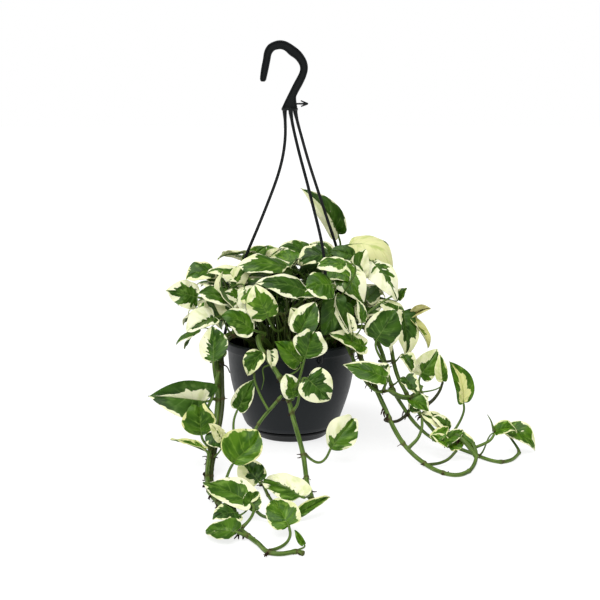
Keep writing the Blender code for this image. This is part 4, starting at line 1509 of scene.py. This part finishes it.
@dataclass
class AerialRoots:
    """Short brown roots at the joints of the vines."""

    rng: random.Random
    share: float = 0.85
    longest: float = 0.0058

    def build(self, vines: Sequence[Vine], palette: Palette) -> None:
        """Makes one piece of every root.

        Args:
            vines: the stems that carry them.
            palette: the materials.
        """
        piece = Piece("aerial_roots")
        for vine in vines:
            for joint in vine.joints[1:-1]:
                if self.rng.random() > self.share:
                    continue
                index = min(range(len(vine.run)), key=lambda k: abs(vine.run[k] - joint))
                for _ in range(self.rng.choice((1, 1, 2, 3))):
                    self.add_root(piece, vine, index, self.longest)
        for spot, count, length in TUFTS:
            near = min(vines, key=lambda vine: vine.nearest(Vector(spot)))
            index = near.nearest(Vector(spot))[1]
            for _ in range(count):
                self.add_root(piece, near, index, length, hanging=True)
        piece.finish(palette.root, "stem")

    def add_root(self, piece: Piece, vine: Vine, index: int, longest: float,
                 hanging: bool = False) -> None:
        """Adds one bent, tapering root.

        Args:
            piece: the piece that it becomes part of.
            vine: the stem.
            index: the point of its line that the root leaves.
            longest: the length that it stays under.
            hanging: whether it is an old one that has grown downwards.
        """
        rng = self.rng
        along = tangent_at(vine.line, index)
        lean = Vector((rng.uniform(-1, 0.6), rng.uniform(-1, 0.2), rng.uniform(-1.0, 0.1)))
        lean = (lean - along * lean.dot(along) * 0.8).normalized()
        start = vine.line[index] + along * rng.uniform(-0.002, 0.003) * (2.5 if hanging else 1)
        length = rng.uniform(0.45, 1.0) * longest
        skin = vine.radius(vine.run[index])
        thick = rng.uniform(0.0009, 0.0014)
        if hanging:
            thick *= 1.35
            knee = start + lean * (skin + 0.0008)
            floor_root = start.z < 0.012
            fall = Vector((rng.uniform(-0.40, 0.20), -1.0 if floor_root else -0.2,
                           0.0 if floor_root else -1.0)).normalized()
            reach = knee + fall * length
        else:
            reach = start + lean * (skin + length)
            knee = start.lerp(reach, 0.6) + along * rng.uniform(-0.0016, 0.0016)
        for spot in (knee, reach):
            spot.z = max(spot.z, thick * 1.5)
        line = smooth_line([start, knee, reach], 4)
        full = lengths_along(line)[-1]
        Tube(line, lambda at: thick * (1.0 - 0.60 * at / full), sides=6,
             ridges=0.30, look=(0.0, 0.0, rng.random() * 9)).add_to(piece)


# How deep stalks stand in the soil, and the width below which a blade gets a coarser mesh.
STALK_DEPTH = 0.006
SMALL_BLADE = 0.028


@dataclass
class Plant:
    """All stems and leaves."""

    palette: Palette
    seed: int = 41
    crown_leaves: int = 64
    heart_leaves: int = 120
    inner_stalks: int = 70
    # Above this height leaves get a brighter green: painted light on the crown's top.
    painted_light_above: float = 0.19
    vines: dict[str, Vine] = field(default_factory=dict)
    leaves: dict[str, Leaf] = field(default_factory=dict)
    fill: list[tuple[str, Leaf]] = field(default_factory=list)

    def __post_init__(self) -> None:
        """Starts the plant's own random numbers."""
        self.rng = random.Random(self.seed)

    def habit(self, fold: float = -0.05) -> Habit:
        """A habit that varies a little from leaf to leaf.

        Args:
            fold: its usual fold.

        Returns:
            The habit.
        """
        rng = self.rng
        return Habit(fold=fold + rng.uniform(-0.14, 0.16), wave=rng.uniform(0.02, 0.06),
                     curl=0.12 * rng.uniform(0.5, 2.2), bend=rng.uniform(-0.30, 0.30),
                     plump=rng.uniform(0.95, 1.3), wedge=rng.uniform(0.0, 0.7))

    def read_frame(self) -> None:
        """Reads every stem and leaf of the frame."""
        for node in sorted(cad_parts):
            if node.startswith(("vine_", "crown_stem_")):
                self.vines[node] = Vine(node, *VINE_GIRTH.get(node, (1.12, 0.0)))
        self.bundle(self.vines["vine_left"], self.vines["vine_left_twin"])
        for node in sorted(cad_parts):
            if node.startswith("leaf_"):
                name = node.removeprefix("leaf_")
                self.leaves[node] = Leaf.from_node(
                    node, Marking(*shared(NODE_DRESS[name], 100)),
                    NODE_HABIT.get(name) or self.habit(), self.rng.uniform(0.0, 10.0))

    def bundle(self, fixed: Vine, loose: Vine) -> None:
        """Lays one vine against another wherever they run side by side.

        Args:
            fixed: the vine that stays where it is.
            loose: the one that moves.
        """
        for k, spot in enumerate(loose.line):
            gap, near = fixed.nearest(spot)
            along = tangent_at(fixed.line, near)
            away = spot - fixed.line[near]
            away -= along * away.dot(along)
            if gap < 0.010 and away.length > 1e-4:
                touch = 0.92 * (fixed.radius(fixed.run[near]) + loose.radius(loose.run[k]))
                loose.line[k] = spot - away + away.normalized() * touch

    def foot_for(self, base: Vector) -> tuple[Vector, Vector]:
        """Where a small leaf's stalk starts.

        Args:
            base: the blade's base.

        Returns:
            The stalk's foot, and the way it leaves.
        """
        def cost(spot: Vector) -> float:
            """The distance, with more for a stem point above the blade's base."""
            return (spot - base).length + 1.5 * max(0.0, spot.z - base.z)

        best = None
        for vine in self.vines.values():
            for k in range(4, len(vine.line), 4):
                value = cost(vine.line[k])
                if best is None or value < best[0]:
                    best = (value, vine, k)
        value, vine, k = best
        if value < 0.075:
            spot, along = vine.line[k], tangent_at(vine.line, k)
            away = (base - spot) - along * (base - spot).dot(along)
            away = away.normalized() if away.length > 1e-4 else UP
            return spot, (away + along * 0.6).normalized()
        return self.soil_foot(base)

    def soil_foot(self, base: Vector) -> tuple[Vector, Vector]:
        """A foot on the soil for a leaf of the crown.

        Args:
            base: the blade's base.

        Returns:
            The foot, and the way the stalk leaves.
        """
        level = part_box("soil")[1][2] - STALK_DEPTH
        flat = Vector((base.x, base.y, 0.0)) * 0.42
        if flat.length > 0.055:
            flat *= 0.055 / flat.length
        flat += Vector((self.rng.uniform(-0.02, 0.02), self.rng.uniform(-0.02, 0.02), 0.0))
        flat.z = level
        lean = Vector((base.x, base.y, 0.0)).normalized() * 0.25 + UP
        return flat, lean.normalized()

    def small_leaf(self, spec: SmallLeaf, start: tuple[Vector, Vector] | None = None) -> Leaf:
        """Makes a leaf from its base and tip, with a stalk that reaches a stem.

        Args:
            spec: what the leaf is.
            start: its stalk's foot and the way it leaves, if not at the nearest stem.

        Returns:
            The leaf.
        """
        base, tip, upper = Vector(spec.base), Vector(spec.tip), Vector(spec.upper)
        foot, leaving = start or self.foot_for(base)
        along = (tip - base).normalized()
        flat = (upper - along * upper.dot(along)).normalized()
        reach = (base - foot).length
        arriving = (along + flat * spec.arch * 3.0).normalized()
        stalk = bezier(foot, foot + leaving * reach * 0.38, base - arriving * reach * 0.32,
                       base, 14)
        small = spec.width < SMALL_BLADE
        return Leaf(
            stalk=stalk, tip=tip, upper=upper, width=spec.width, arch=spec.arch,
            marking=spec.marking, habit=self.habit(spec.fold),
            seed=self.rng.uniform(0.0, 10.0), rows=18 if small else 22,
            columns=12 if small else 14, stalk_radius=0.0010 if small else 0.0012,
            stalk_dark=float(0.12 < base.z < 0.20 and self.rng.random() < 0.2))

    def add_small_leaves(self) -> None:
        """Adds the listed smaller leaves."""
        for spec in SMALL_LEAVES:
            self.fill.append((f"leaves_{spec.group}", self.small_leaf(spec)))

    def middles(self) -> list[Vector]:
        """The middles of all blades so far."""
        leaves = [*self.leaves.values(), *(leaf for _, leaf in self.fill)]
        return [(leaf.base + leaf.tip) / 2 for leaf in leaves]

    def add_crown(self) -> None:
        """Fills the top and the far side of the crown, clear of what is there."""
        rng = self.rng
        count, taken = self.crown_leaves, self.middles()
        dresses = [D.GREEN, D.MARGINED, D.SPLIT, D.SPLASHED, D.DEEP, D.CREAM, D.BRIGHT]
        made = 0
        for _ in range(count * 12):
            if made >= count:
                break
            turn = rng.uniform(-0.35, math.pi + 0.50)
            lift = rng.uniform(0.0, 1.0)
            out = 0.045 + 0.085 * (1.0 - lift ** 1.6) + rng.uniform(-0.012, 0.012)
            way = heading(turn)
            base = way * out + UP * (0.155 + 0.090 * lift + rng.uniform(-0.01, 0.01))
            length = rng.uniform(0.042, 0.066)
            swing = Matrix.Rotation(rng.uniform(-0.7, 0.7), 3, "Z")
            dip = -0.75 + 0.95 * lift + rng.uniform(-0.25, 0.25)
            ahead = (swing @ way + UP * dip).normalized()
            tip = base + ahead * length
            middle = (base + tip) / 2
            room = 0.026 if middle.y > 0.01 else 0.034
            if any((middle - spot).length < room for spot in taken):
                continue
            if tip.xy.length > 0.166 or tip.z > 0.275:
                continue
            upper = (way * (0.9 - 0.5 * lift) + UP * 0.9).normalized()
            spec = SmallLeaf(
                "back_right" if base.x > 0.0 else "back_left", tuple(base), tuple(tip),
                tuple(upper), length * rng.uniform(0.62, 0.80),
                rng.choice(dresses).value, arch=rng.uniform(0.04, 0.12))
            self.fill.append((f"leaves_{spec.group}", self.small_leaf(spec)))
            taken.append(middle)
            made += 1
        LOG.info("crown filled with %d leaves", made)

    def add_heart(self) -> None:
        """Fills the shaded inside of the crown with plain leaves, most of them dark green as
        painted shade.
        """
        rng = self.rng
        count, taken = self.heart_leaves, self.middles()
        made = 0
        for _ in range(count * 14):
            if made >= count:
                break
            turn, out = rng.uniform(0.0, math.tau), 0.088 * math.sqrt(rng.random())
            way = heading(turn)
            low = 0.150 if out > 0.05 else 0.165
            base = way * out + UP * (low + rng.uniform(0.0, 0.085) * (1.0 - out / 0.15))
            base.x += 0.012
            swing = Matrix.Rotation(rng.uniform(-1.2, 1.2), 3, "Z")
            ahead = (swing @ way + UP * rng.uniform(-0.35, 0.35)).normalized()
            tip = base + ahead * rng.uniform(0.036, 0.054)
            middle = (base + tip) / 2
            if any((middle - spot).length < 0.0175 for spot in taken) or tip.xy.length > 0.125:
                continue
            if middle.y < 0.015 - 0.6 * (middle.z - 0.16) or tip.y < -0.080:
                continue
            upper = UP + way * rng.uniform(0.2, 1.0) + Vector((0.0, rng.uniform(-0.9, 0.1), 0.0))
            # Most of these leaves take the very dark dress that is painted shade.
            spec = SmallLeaf("heart", tuple(base), tuple(tip), tuple(upper),
                             (tip - base).length * rng.uniform(0.60, 0.78),
                             rng.choice((D.PAINTED_SHADE, D.DEEP, D.PAINTED_SHADE, D.GREEN)).value,
                             arch=rng.uniform(0.02, 0.12))
            leaf = self.small_leaf(spec, self.soil_foot(base))
            leaf.rows, leaf.columns = 14, 8
            self.fill.append(("leaves_heart_left" if base.x < 0.01 else "leaves_heart_right",
                              leaf))
            taken.append(middle)
            made += 1
        LOG.info("heart filled with %d leaves", made)

    def build_inner_stalks(self) -> None:
        """Stands the dark stalks that fill the inside of the crown on the soil; their dark skin is
        painted shade.
        """
        rng = self.rng
        piece = Piece("inner_stalks")
        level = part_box("soil")[1][2] - STALK_DEPTH
        for _ in range(self.inner_stalks):
            turn, out = rng.uniform(0.0, math.tau), 0.070 * math.sqrt(rng.random())
            way = heading(turn)
            foot = way * out + UP * level
            top = foot + (way * rng.uniform(0.0, 0.6) + UP).normalized() * rng.uniform(0.05, 0.10)
            bow = Vector((rng.uniform(-1, 1), rng.uniform(-1, 1), 0.0)) * 0.010
            line = bezier(foot, foot + UP * 0.03 + bow, top - UP * 0.02 - way * 0.01, top, 10)
            thick = rng.uniform(0.0010, 0.0017)
            # Mostly dark skin tones here: painted shade of the crown's inside.
            Tube(line, lambda at, thick=thick: thick * (1.0 - 2.5 * at), sides=7, ridges=0.1,
                 look=(rng.choice((0.35, 0.7, 1.0)), 0.0, rng.uniform(0.0, 9.0))).add_to(piece)
        piece.finish(self.palette.stem, "stem")

    def build_shoots(self) -> None:
        """Makes the side stalks one piece."""
        piece = Piece("side_shoots")
        for shoot in SHOOTS:
            points = [Vector(shared(point, 1000)) for point in shoot.points]
            near = min((vine.nearest(points[0]) + (vine,) for vine in self.vines.values()),
                       key=lambda found: found[0])
            if 0.002 < near[0] < 0.016:
                points.insert(0, near[2].line[near[1]])
            line = smooth_line(points, 6)
            full = lengths_along(line)[-1]

            def radius(at: float, shoot: Shoot = shoot, full: float = full) -> float:
                """The stalk's radius, a little swollen at its foot."""
                plain = shoot.radius + (shoot.tip - shoot.radius) * at / full
                return plain * (1.0 + 0.35 * math.exp(-at / 0.002))

            Tube(line, radius, sides=10, look=(shoot.dark, 0.0, self.rng.uniform(0.0, 9.0)),
                 scar=lambda at: math.exp(-at / 0.002), ridges=0.12).add_to(piece)
        piece.finish(self.palette.stem, "stem")

    def varied(self, marking: Marking, height: float) -> Marking:
        """The marking with small differences, so that no two leaves match.

        Args:
            marking: the leaf's own marking.
            height: how high the leaf stands; leaves above a set height get a brighter green, which
                is painted light.

        Returns:
            The new marking.
        """
        rng = self.rng
        # Leaves high in the crown get a brighter tone: painted light on its top.
        fresh = 0.25 if height > self.painted_light_above else 0.0
        return replace(
            marking, left=marking.left + rng.uniform(-0.10, 0.08),
            right=marking.right + rng.uniform(-0.10, 0.08), bias=rng.uniform(-0.15, 0.15),
            tone=min(max(marking.tone + fresh + rng.uniform(-0.15, 0.20), 0.0), 1.0),
            yellow=min(max(marking.yellow + rng.uniform(-0.15, 0.15), 0.0), 1.0))

    def build(self) -> None:
        """Makes every stem, leaf and root a piece."""
        self.read_frame()
        self.add_small_leaves()
        self.add_crown()
        self.add_heart()
        feet = [leaf.stalk[0] for leaf in self.leaves.values()]
        feet += [leaf.stalk[0] for _, leaf in self.fill]
        for node, vine in self.vines.items():
            vine.add_joints(feet, self.rng)
            old = 0.8 if node == "vine_left_twin" else 0.0
            vine.build(self.palette, old, self.rng.uniform(0.0, 10.0))
        trailing = [v for n, v in self.vines.items() if n.startswith("vine_")]
        AerialRoots(self.rng).build(trailing, self.palette)
        self.build_inner_stalks()
        self.build_shoots()
        for node, leaf in self.leaves.items():
            piece = Piece(node.removeprefix("leaf_") + "_leaf")
            leaf.add_to(piece)
            piece.finish(self.palette.leaf, "leaf", [node])
        groups: dict[str, Piece] = {}
        for group, leaf in self.fill:
            if group not in groups:
                groups[group] = Piece(group)
            leaf.marking = self.varied(leaf.marking, leaf.base.z)
            leaf.add_to(groups[group])
        for piece in groups.values():
            piece.finish(self.palette.leaf, "leaf")


# ---------------- pot

def turned(piece: Piece, profile: Sequence[tuple[float, float]], steps: int,
           rounding: float = 0.0) -> None:
    """A shape of revolution about Z.

    Args:
        piece: the piece that it becomes.
        profile: radius and height points; one that starts off the axis is closed.
        steps: how many faces go round.
        rounding: the radius that its corners are eased by.
    """
    shape = piece.shape
    verts = [shape.verts.new((r, 0.0, z)) for r, z in profile]
    edges = [shape.edges.new(pair) for pair in zip(verts, verts[1:])]
    if profile[0][0] > 0.0:
        edges.append(shape.edges.new((verts[-1], verts[0])))
    if rounding:
        inner = [v for v in verts if len(v.link_edges) == 2]
        ease(shape, inner, rounding, affect="VERTICES")
    bmesh.ops.spin(shape, geom=list(shape.verts) + list(shape.edges), cent=(0, 0, 0),
                   axis=(0, 0, 1), angle=math.tau, steps=steps, use_merge=True)
    bmesh.ops.remove_doubles(shape, verts=list(shape.verts), dist=1e-6)
    face_out(shape)


@dataclass
class Pot:
    """The turned pot and its saucer."""

    palette: Palette
    steps: int = 128
    lip_height: float = 0.013
    lip_width: float = 0.0032
    wall: float = 0.0018
    foot_radius: float = 0.0485

    def build(self) -> None:
        """Makes the pot and the saucer from the sizes of their solids."""
        low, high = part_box("pot")
        rim, foot, top = (high[0] - low[0]) / 2, low[2], high[2]
        lip = top - self.lip_height
        outer = [(0.06, 0.0145), (0.0645, 0.0165), (0.067, 0.021), (0.0705, 0.03),
                 (0.0765, 0.047), (0.0822, 0.066), (0.0859, 0.084), (0.088, 0.102),
                 (0.0893, lip)]
        fine = smooth_line([Vector((r, z, 0.0)) for r, z in outer[2:]], 3)
        wall = [(p.x, p.y) for p in fine]
        outside = [(0.0, foot + 0.0016), (self.foot_radius - 0.006, foot + 0.0016),
                   (self.foot_radius - 0.003, foot), (self.foot_radius, foot),
                   (self.foot_radius + 0.0058, 0.0143), outer[0], outer[1]]
        rim_line = [
            (rim - 0.003, lip + 0.0001), (rim - 0.0004, lip + 0.0003), (rim, lip + 0.0016),
            (rim, top - 0.0026), (rim - 0.001, top - 0.0006),
            (rim - self.lip_width + 0.0002, top), (rim - self.lip_width - 0.0012, top - 0.0012),
            (outer[-1][0] - self.wall, lip - 0.001),
        ]
        inside = [(r - self.wall, z) for r, z in reversed(wall[:-1])]
        inside += [(outer[1][0] - 0.0032, outer[1][1] + 0.0022),
                   (self.foot_radius + 0.0022, 0.0172),
                   (self.foot_radius - 0.0022, foot + 0.0034), (0.0, foot + 0.0034)]
        piece = Piece("pot_body")
        turned(piece, outside + wall[:-1] + [outer[-1]] + rim_line + inside, self.steps, 0.0005)
        piece.finish(self.palette.pot, "pot", ["pot"], sharp=32.0)
        self.build_saucer()

    def build_saucer(self) -> None:
        """Makes the clip-on drip saucer with its foot ring and rolled edge."""
        low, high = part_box("drip_saucer")
        rim, top = (high[0] - low[0]) / 2, high[2]
        foot = rim - 0.0075
        profile = [
            (0.0, 0.0008), (foot - 0.0075, 0.0008), (foot - 0.0065, 0.0), (foot - 0.0012, 0.0),
            (foot, 0.001), (foot + 0.0028, 0.0046), (rim - 0.0014, top - 0.0034),
            (rim - 0.0002, top - 0.003), (rim, top - 0.0012), (rim - 0.0004, top - 0.0001),
            (rim - 0.0014, top), (rim - 0.002, top - 0.0018), (foot + 0.0004, 0.003),
            (0.0, 0.003),
        ]
        piece = Piece("saucer_body")
        turned(piece, profile, self.steps, 0.00025)
        piece.finish(self.palette.saucer, "saucer", ["drip_saucer"], sharp=32.0)


@dataclass
class Soil:
    """The peat surface, with clods and bark bits."""

    palette: Palette
    seed: int = 7
    rings: int = 34
    spokes: int = 96
    bits: int = 260

    def build(self) -> None:
        """Makes the root ball and the loose bits on it."""
        rng = random.Random(self.seed)
        low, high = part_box("soil")
        radius, top, foot = (high[0] - low[0]) / 2, high[2], low[2]
        piece = Piece("peat")
        shape = piece.shape
        made = bmesh.ops.create_grid(shape, x_segments=self.spokes, y_segments=self.rings,
                                     size=1.0)["verts"]
        for vert in made:
            turn = math.pi * (vert.co.x + 1.0)
            out = radius * (vert.co.y + 1.0) / 2.0
            x, y = out * math.cos(turn), out * math.sin(turn)
            vert.co = (x, y, self.height(x, y, radius, top))
        bmesh.ops.remove_doubles(shape, verts=made, dist=1e-6)
        rim = [e for e in shape.edges if e.is_boundary]
        for vert in fresh_verts(bmesh.ops.extrude_edge_only(shape, edges=rim)):
            flat = Vector((vert.co.x, vert.co.y, 0.0)) * 0.74
            vert.co = (flat.x, flat.y, foot + 0.014)
        rim = [e for e in shape.edges if e.is_boundary]
        bmesh.ops.holes_fill(shape, edges=rim, sides=self.spokes)
        face_out(shape)
        piece.finish(self.palette.soil, "soil", ["soil"], sharp=80.0)
        self.build_bits(rng, radius, top)

    @staticmethod
    def height(x: float, y: float, radius: float, top: float) -> float:
        """The soil's height at a place.

        Args:
            x: to the right.
            y: to the back.
            radius: the soil's radius.
            top: its highest point.

        Returns:
            The height in metres.
        """
        out = math.hypot(x, y) / radius
        lumps = noise.fractal((x * 55.0, y * 55.0, 3.0), 0.9, 2.1, 4)
        fine = noise.noise((x * 260.0, y * 260.0, 9.0))
        return top - 0.0075 * out - 0.0022 + 0.0026 * lumps * (1.0 - 0.5 * out) + 0.0006 * fine

    def build_bits(self, rng: random.Random, radius: float, top: float) -> None:
        """Scatters small bark bits.

        Args:
            rng: the soil's own random numbers.
            radius: the soil's radius.
            top: its highest point.
        """
        piece = Piece("bark_bits")
        for _ in range(self.bits):
            out = radius * 0.96 * math.sqrt(rng.random())
            turn = rng.uniform(0.0, math.tau)
            x, y = out * math.cos(turn), out * math.sin(turn)
            size = rng.uniform(0.0007, 0.0024)
            spot = Matrix.Translation((x, y, self.height(x, y, radius, top) + size * 0.2))
            roll = Matrix.Rotation(rng.uniform(0, math.tau), 4, Vector(
                (rng.uniform(-1, 1), rng.uniform(-1, 1), 0.6)).normalized())
            flat = Matrix.Diagonal((1.0, rng.uniform(0.5, 1.0), rng.uniform(0.3, 0.7), 1.0))
            made = bmesh.ops.create_icosphere(piece.shape, subdivisions=1, radius=size,
                                              matrix=spot @ roll @ flat)["verts"]
            for vert in made:
                vert.co += Vector((noise.noise(vert.co * 900), noise.noise(vert.co * 700),
                                   noise.noise(vert.co * 800))) * size * 0.45
        piece.finish(self.palette.bark, "soil", sharp=30.0)


# ---------------- hanger

# The hook's arm from its tip to its foot, in tenths of a millimetre: outer edge x and z,
# inner edge x and z, with the heights counted from the top of the hook.
ARM_EDGES = (
    (-405, -546, -362, -548), (-417, -525, -340, -528), (-419, -490, -330, -492),
    (-404, -374, -306, -391), (-381, -264, -281, -272), (-359, -145, -263, -188),
    (-307, -61, -225, -137), (-224, -16, -178, -122), (-138, -2, -135, -120),
    (-49, -24, -83, -139), (55, -87, -18, -198), (141, -162, 58, -252), (206, -264, 111, -326),
    (227, -365, 120, -394), (207, -467, 92, -467), (158, -577, 40, -560), (92, -697, -19, -676),
    (68, -765, -81, -799), (85, -903, -130, -903),
)


@dataclass
class Hanger:
    """Hook, collar, label barb, three strands and their clips."""

    palette: Palette
    thickness: float = 0.0068
    web: float = 0.0034
    flange: float = 0.0021
    strand_radius: float = 0.00213
    collar_drop: float = 0.0914

    def build(self) -> None:
        """Makes every piece of the hanger."""
        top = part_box("hanger_hook")[1][2]
        level = top - self.collar_drop
        self.build_arm(top)
        self.build_collar(level)
        for node in sorted(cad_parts):
            if node.startswith("hanger_strand_"):
                self.build_strand(node, level)

    def section(self, outer: Vector, inner: Vector) -> list[Vector]:
        """The arm's ribbed section between its two edges.

        Args:
            outer: a point of the outer edge.
            inner: the point of the inner edge across from it.

        Returns:
            Sixteen points: two flanges with eased corners and a thinner web between them.
        """
        depth = (outer - inner).length / 2
        across = (outer - inner).normalized()
        wide, thin, step, ease = self.thickness / 2, self.web / 2, depth - self.flange, 0.0009
        half = [(depth, wide - ease), (depth - ease, wide), (step, wide), (step - 0.0008, thin),
                (0.0008 - step, thin), (-step, wide), (ease - depth, wide),
                (-depth, wide - ease)]
        shape = half + [(a, -b) for a, b in reversed(half)]
        return [(outer + inner) / 2 + across * a + Vector((0.0, b, 0.0)) for a, b in shape]

    def build_arm(self, top: float) -> None:
        """Makes the hook's arm and its flared foot.

        Args:
            top: the hook's highest point.
        """
        piece = Piece("hook_arm")
        shape = piece.shape
        edges = [shared(row, 10000) for row in ARM_EDGES]
        outer = smooth_line([Vector((x, 0.0, top + z)) for x, z, _, _ in edges], 6)
        inner = smooth_line([Vector((x, 0.0, top + z)) for _, _, x, z in edges], 6)
        start = self.section(outer[0], inner[0])
        before = [shape.verts.new(spot) for spot in start]
        rim = list(shape.faces.new(before).edges)
        for a, b in zip(outer[1:], inner[1:]):
            grown = bmesh.ops.extrude_edge_only(shape, edges=rim)["geom"]
            fresh = {v for v in grown if isinstance(v, bmesh.types.BMVert)}
            rim = [e for e in grown if isinstance(e, bmesh.types.BMEdge)
                   and fresh.issuperset(e.verts)]
            after = [next(e.other_vert(vert) for e in vert.link_edges
                          if e.other_vert(vert) in fresh) for vert in before]
            for vert, spot in zip(after, self.section(a, b)):
                vert.co = spot
            before = after
        bmesh.ops.edgeloop_fill(shape, edges=rim)
        face_out(shape)
        tip = [v for v in shape.verts if v.co.z < top - 0.054 and v.co.x < -0.03]
        ends = [e for e in shape.edges if set(e.verts) <= set(tip) and len(e.link_faces) == 2
                and e.calc_face_angle(0.0) > 1.0 and any(len(f.verts) > 4 for f in e.link_faces)]
        ease(shape, ends, 0.0009)
        face_out(shape)
        piece.finish(self.palette.hanger, "hanger", ["hanger_hook"], sharp=38.0)

    def build_collar(self, level: float) -> None:
        """Makes the collar disc and the arrow that holds a label.

        Args:
            level: the height of the collar's middle.
        """
        piece = Piece("hook_collar")
        shape = piece.shape
        bmesh.ops.create_cone(shape, cap_ends=True, segments=64, radius1=0.0112,
                              radius2=0.0112, depth=0.0034)
        rims = [e for e in shape.edges if abs(e.verts[0].co.z - e.verts[1].co.z) < 1e-6]
        ease(shape, rims, 0.0007)
        bmesh.ops.translate(shape, verts=list(shape.verts), vec=(-0.002, 0.0, level))
        piece.finish(self.palette.hanger, "hanger", sharp=35.0)
        outline = [(0.0055, -0.001), (0.0165, -0.0012), (0.013, -0.0028), (0.0136, -0.0044),
                   (0.0226, -0.0012), (0.0233, 0.0), (0.0228, 0.0012), (0.0132, 0.005),
                   (0.0128, 0.0034), (0.0168, 0.0014), (0.0055, 0.001)]
        piece = Piece("label_arrow")
        shape = piece.shape
        plate(shape, [(x, level + 0.0072 + z) for x, z in outline], -0.0011, 0.0022)
        face_out(shape)
        ease(shape, list(shape.edges), 0.00018, 2)
        piece.finish(self.palette.hanger, "hanger", sharp=35.0)

    def build_strand(self, node: str, level: float) -> None:
        """Makes one strand, from the collar to the clip that grips the pot's lip.

        Args:
            node: its CAD node.
            level: the height of the collar's middle.
        """
        spots = [centre(ring) for ring in sections_of(node)]
        if spots[0].z < spots[-1].z:
            spots.reverse()
        head = Vector((spots[0].x, spots[0].y, level))
        line = even_line([head, *spots], 0.004)
        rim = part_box("pot")[1][2]
        for _ in range(24):
            line = [line[0], line[1], *(
                b if b.z < rim + 0.003 else b * 0.5 + (a + c) * 0.25
                for a, b, c in zip(line[1:], line[2:], line[3:])), line[-1]]
        full = lengths_along(line)[-1]
        piece = Piece(node.removeprefix("hanger_"))
        wide = self.strand_radius

        def radius(at: float) -> float:
            """The strand's radius: a tapered socket at its head, a little thicker at its clip."""
            socket = 0.0012 * max(0.0, 1.0 - at / 0.015)
            return wide + socket + 0.0004 * math.exp(-(full - at) / 0.012)

        Tube(smooth_line(line, 2), radius, sides=14).add_to(piece)
        self.add_clip(piece, spots[-1])
        piece.finish(self.palette.hanger, "hanger", [node], sharp=40.0)

    def add_clip(self, piece: Piece, toe: Vector) -> None:
        """Adds the plate that lies on the lip and hooks under it.

        Args:
            piece: the strand's piece.
            toe: the strand's lowest end, under the lip.
        """
        low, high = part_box("pot")
        rim, top = (high[0] - low[0]) / 2, high[2]
        turn = math.atan2(toe.y, toe.x)
        shape = piece.shape
        outline = [(rim + 0.0002, top + 0.0016), (rim + 0.0018, top + 0.0004),
                   (rim + 0.0022, top - 0.01), (rim + 0.0016, top - 0.015),
                   (rim - 0.0006, top - 0.0156), (rim - 0.0022, top - 0.014),
                   (rim - 0.0004, top - 0.0134), (rim + 0.0002, top - 0.012),
                   (rim + 0.0002, top + 0.0002), (rim - 0.0034, top + 0.0002),
                   (rim - 0.0052, top - 0.001), (rim - 0.006, top + 0.0006),
                   (rim - 0.004, top + 0.0016)]
        whole = plate(shape, outline, -0.0042, 0.0084)
        face_out(shape, whole)
        made = ease(shape, list({e for v in whole for e in v.link_edges}), 0.00035, 2)
        bmesh.ops.rotate(shape, verts=list(set(made)), cent=(0, 0, 0),
                         matrix=Matrix.Rotation(turn, 3, "Z"))


# ---------------- studio

@dataclass
class Studio:
    """Pale floor, soft light and the camera."""

    palette: Palette
    camera_place: tuple[float, float, float] = (0.012, -1.55, 0.45)
    camera_dip: float = 9.5
    lens: float = 67.6
    floor_size: float = 60.0
    room_light: float = 0.52
    room_glint: float = 0.30
    key_light: float = 3.0
    key_softness: float = 65.0

    def build(self) -> None:
        """Sets the floor, the light, the surroundings and the camera."""
        shape = bmesh.new()
        bmesh.ops.create_grid(shape, x_segments=1, y_segments=1, size=self.floor_size / 2)
        mesh = bpy.data.meshes.new("studio_floor")
        shape.to_mesh(mesh)
        shape.free()
        mesh.materials.append(self.palette.floor)
        floor = placed("studio_floor", mesh)
        self.add_key()
        self.add_surroundings()
        self.add_camera()

    def add_key(self) -> None:
        """Adds the large soft key light, from above, in front and a little left."""
        lamp = bpy.data.lights.new("key_light", "SUN")
        lamp.angle = math.radians(self.key_softness)
        lamp.energy = self.key_light
        made = placed("key_light", lamp)
        made.location = (-0.8, -1.3, 2.8)
        way = -Vector(made.location)
        made.rotation_euler = way.to_track_quat("-Z", "Y").to_euler()

    def add_surroundings(self) -> None:
        """Sets a white room that shows brighter than it lights."""
        scene = bpy.context.scene
        world = bpy.data.worlds.new("white_room")
        scene.world = world
        world.use_nodes = True
        graph = Graph(world.node_tree)
        back = world.node_tree.nodes["Background"]
        back.inputs["Color"].default_value = (1.0, 1.0, 1.0, 1.0)
        rays = graph.node("ShaderNodeLightPath").outputs
        light = graph.lerp(rays["Is Glossy Ray"], self.room_light, self.room_glint)
        graph.feed(back.inputs["Strength"], graph.lerp(rays["Is Camera Ray"], light, 1.0))
        scene.view_settings.view_transform = "Standard"

    def add_camera(self) -> None:
        """Sets the camera at the viewing angle."""
        data = bpy.data.cameras.new("camera")
        data.lens = self.lens
        data.sensor_width = 36.0
        data.clip_end = 60.0
        made = placed("camera", data)
        made.location = self.camera_place
        made.rotation_euler = (math.radians(90.0 - self.camera_dip), 0.0, 0.0)
        bpy.context.scene.camera = made


def main() -> None:
    """Builds every sub-assembly in order."""
    logging.basicConfig(level=logging.INFO, format="%(message)s")
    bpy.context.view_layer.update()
    palette = Palette.mixed()
    Studio(palette).build()
    Pot(palette).build()
    Soil(palette).build()
    Hanger(palette).build()
    Plant(palette).build()


if __name__ == "__main__":
    main()
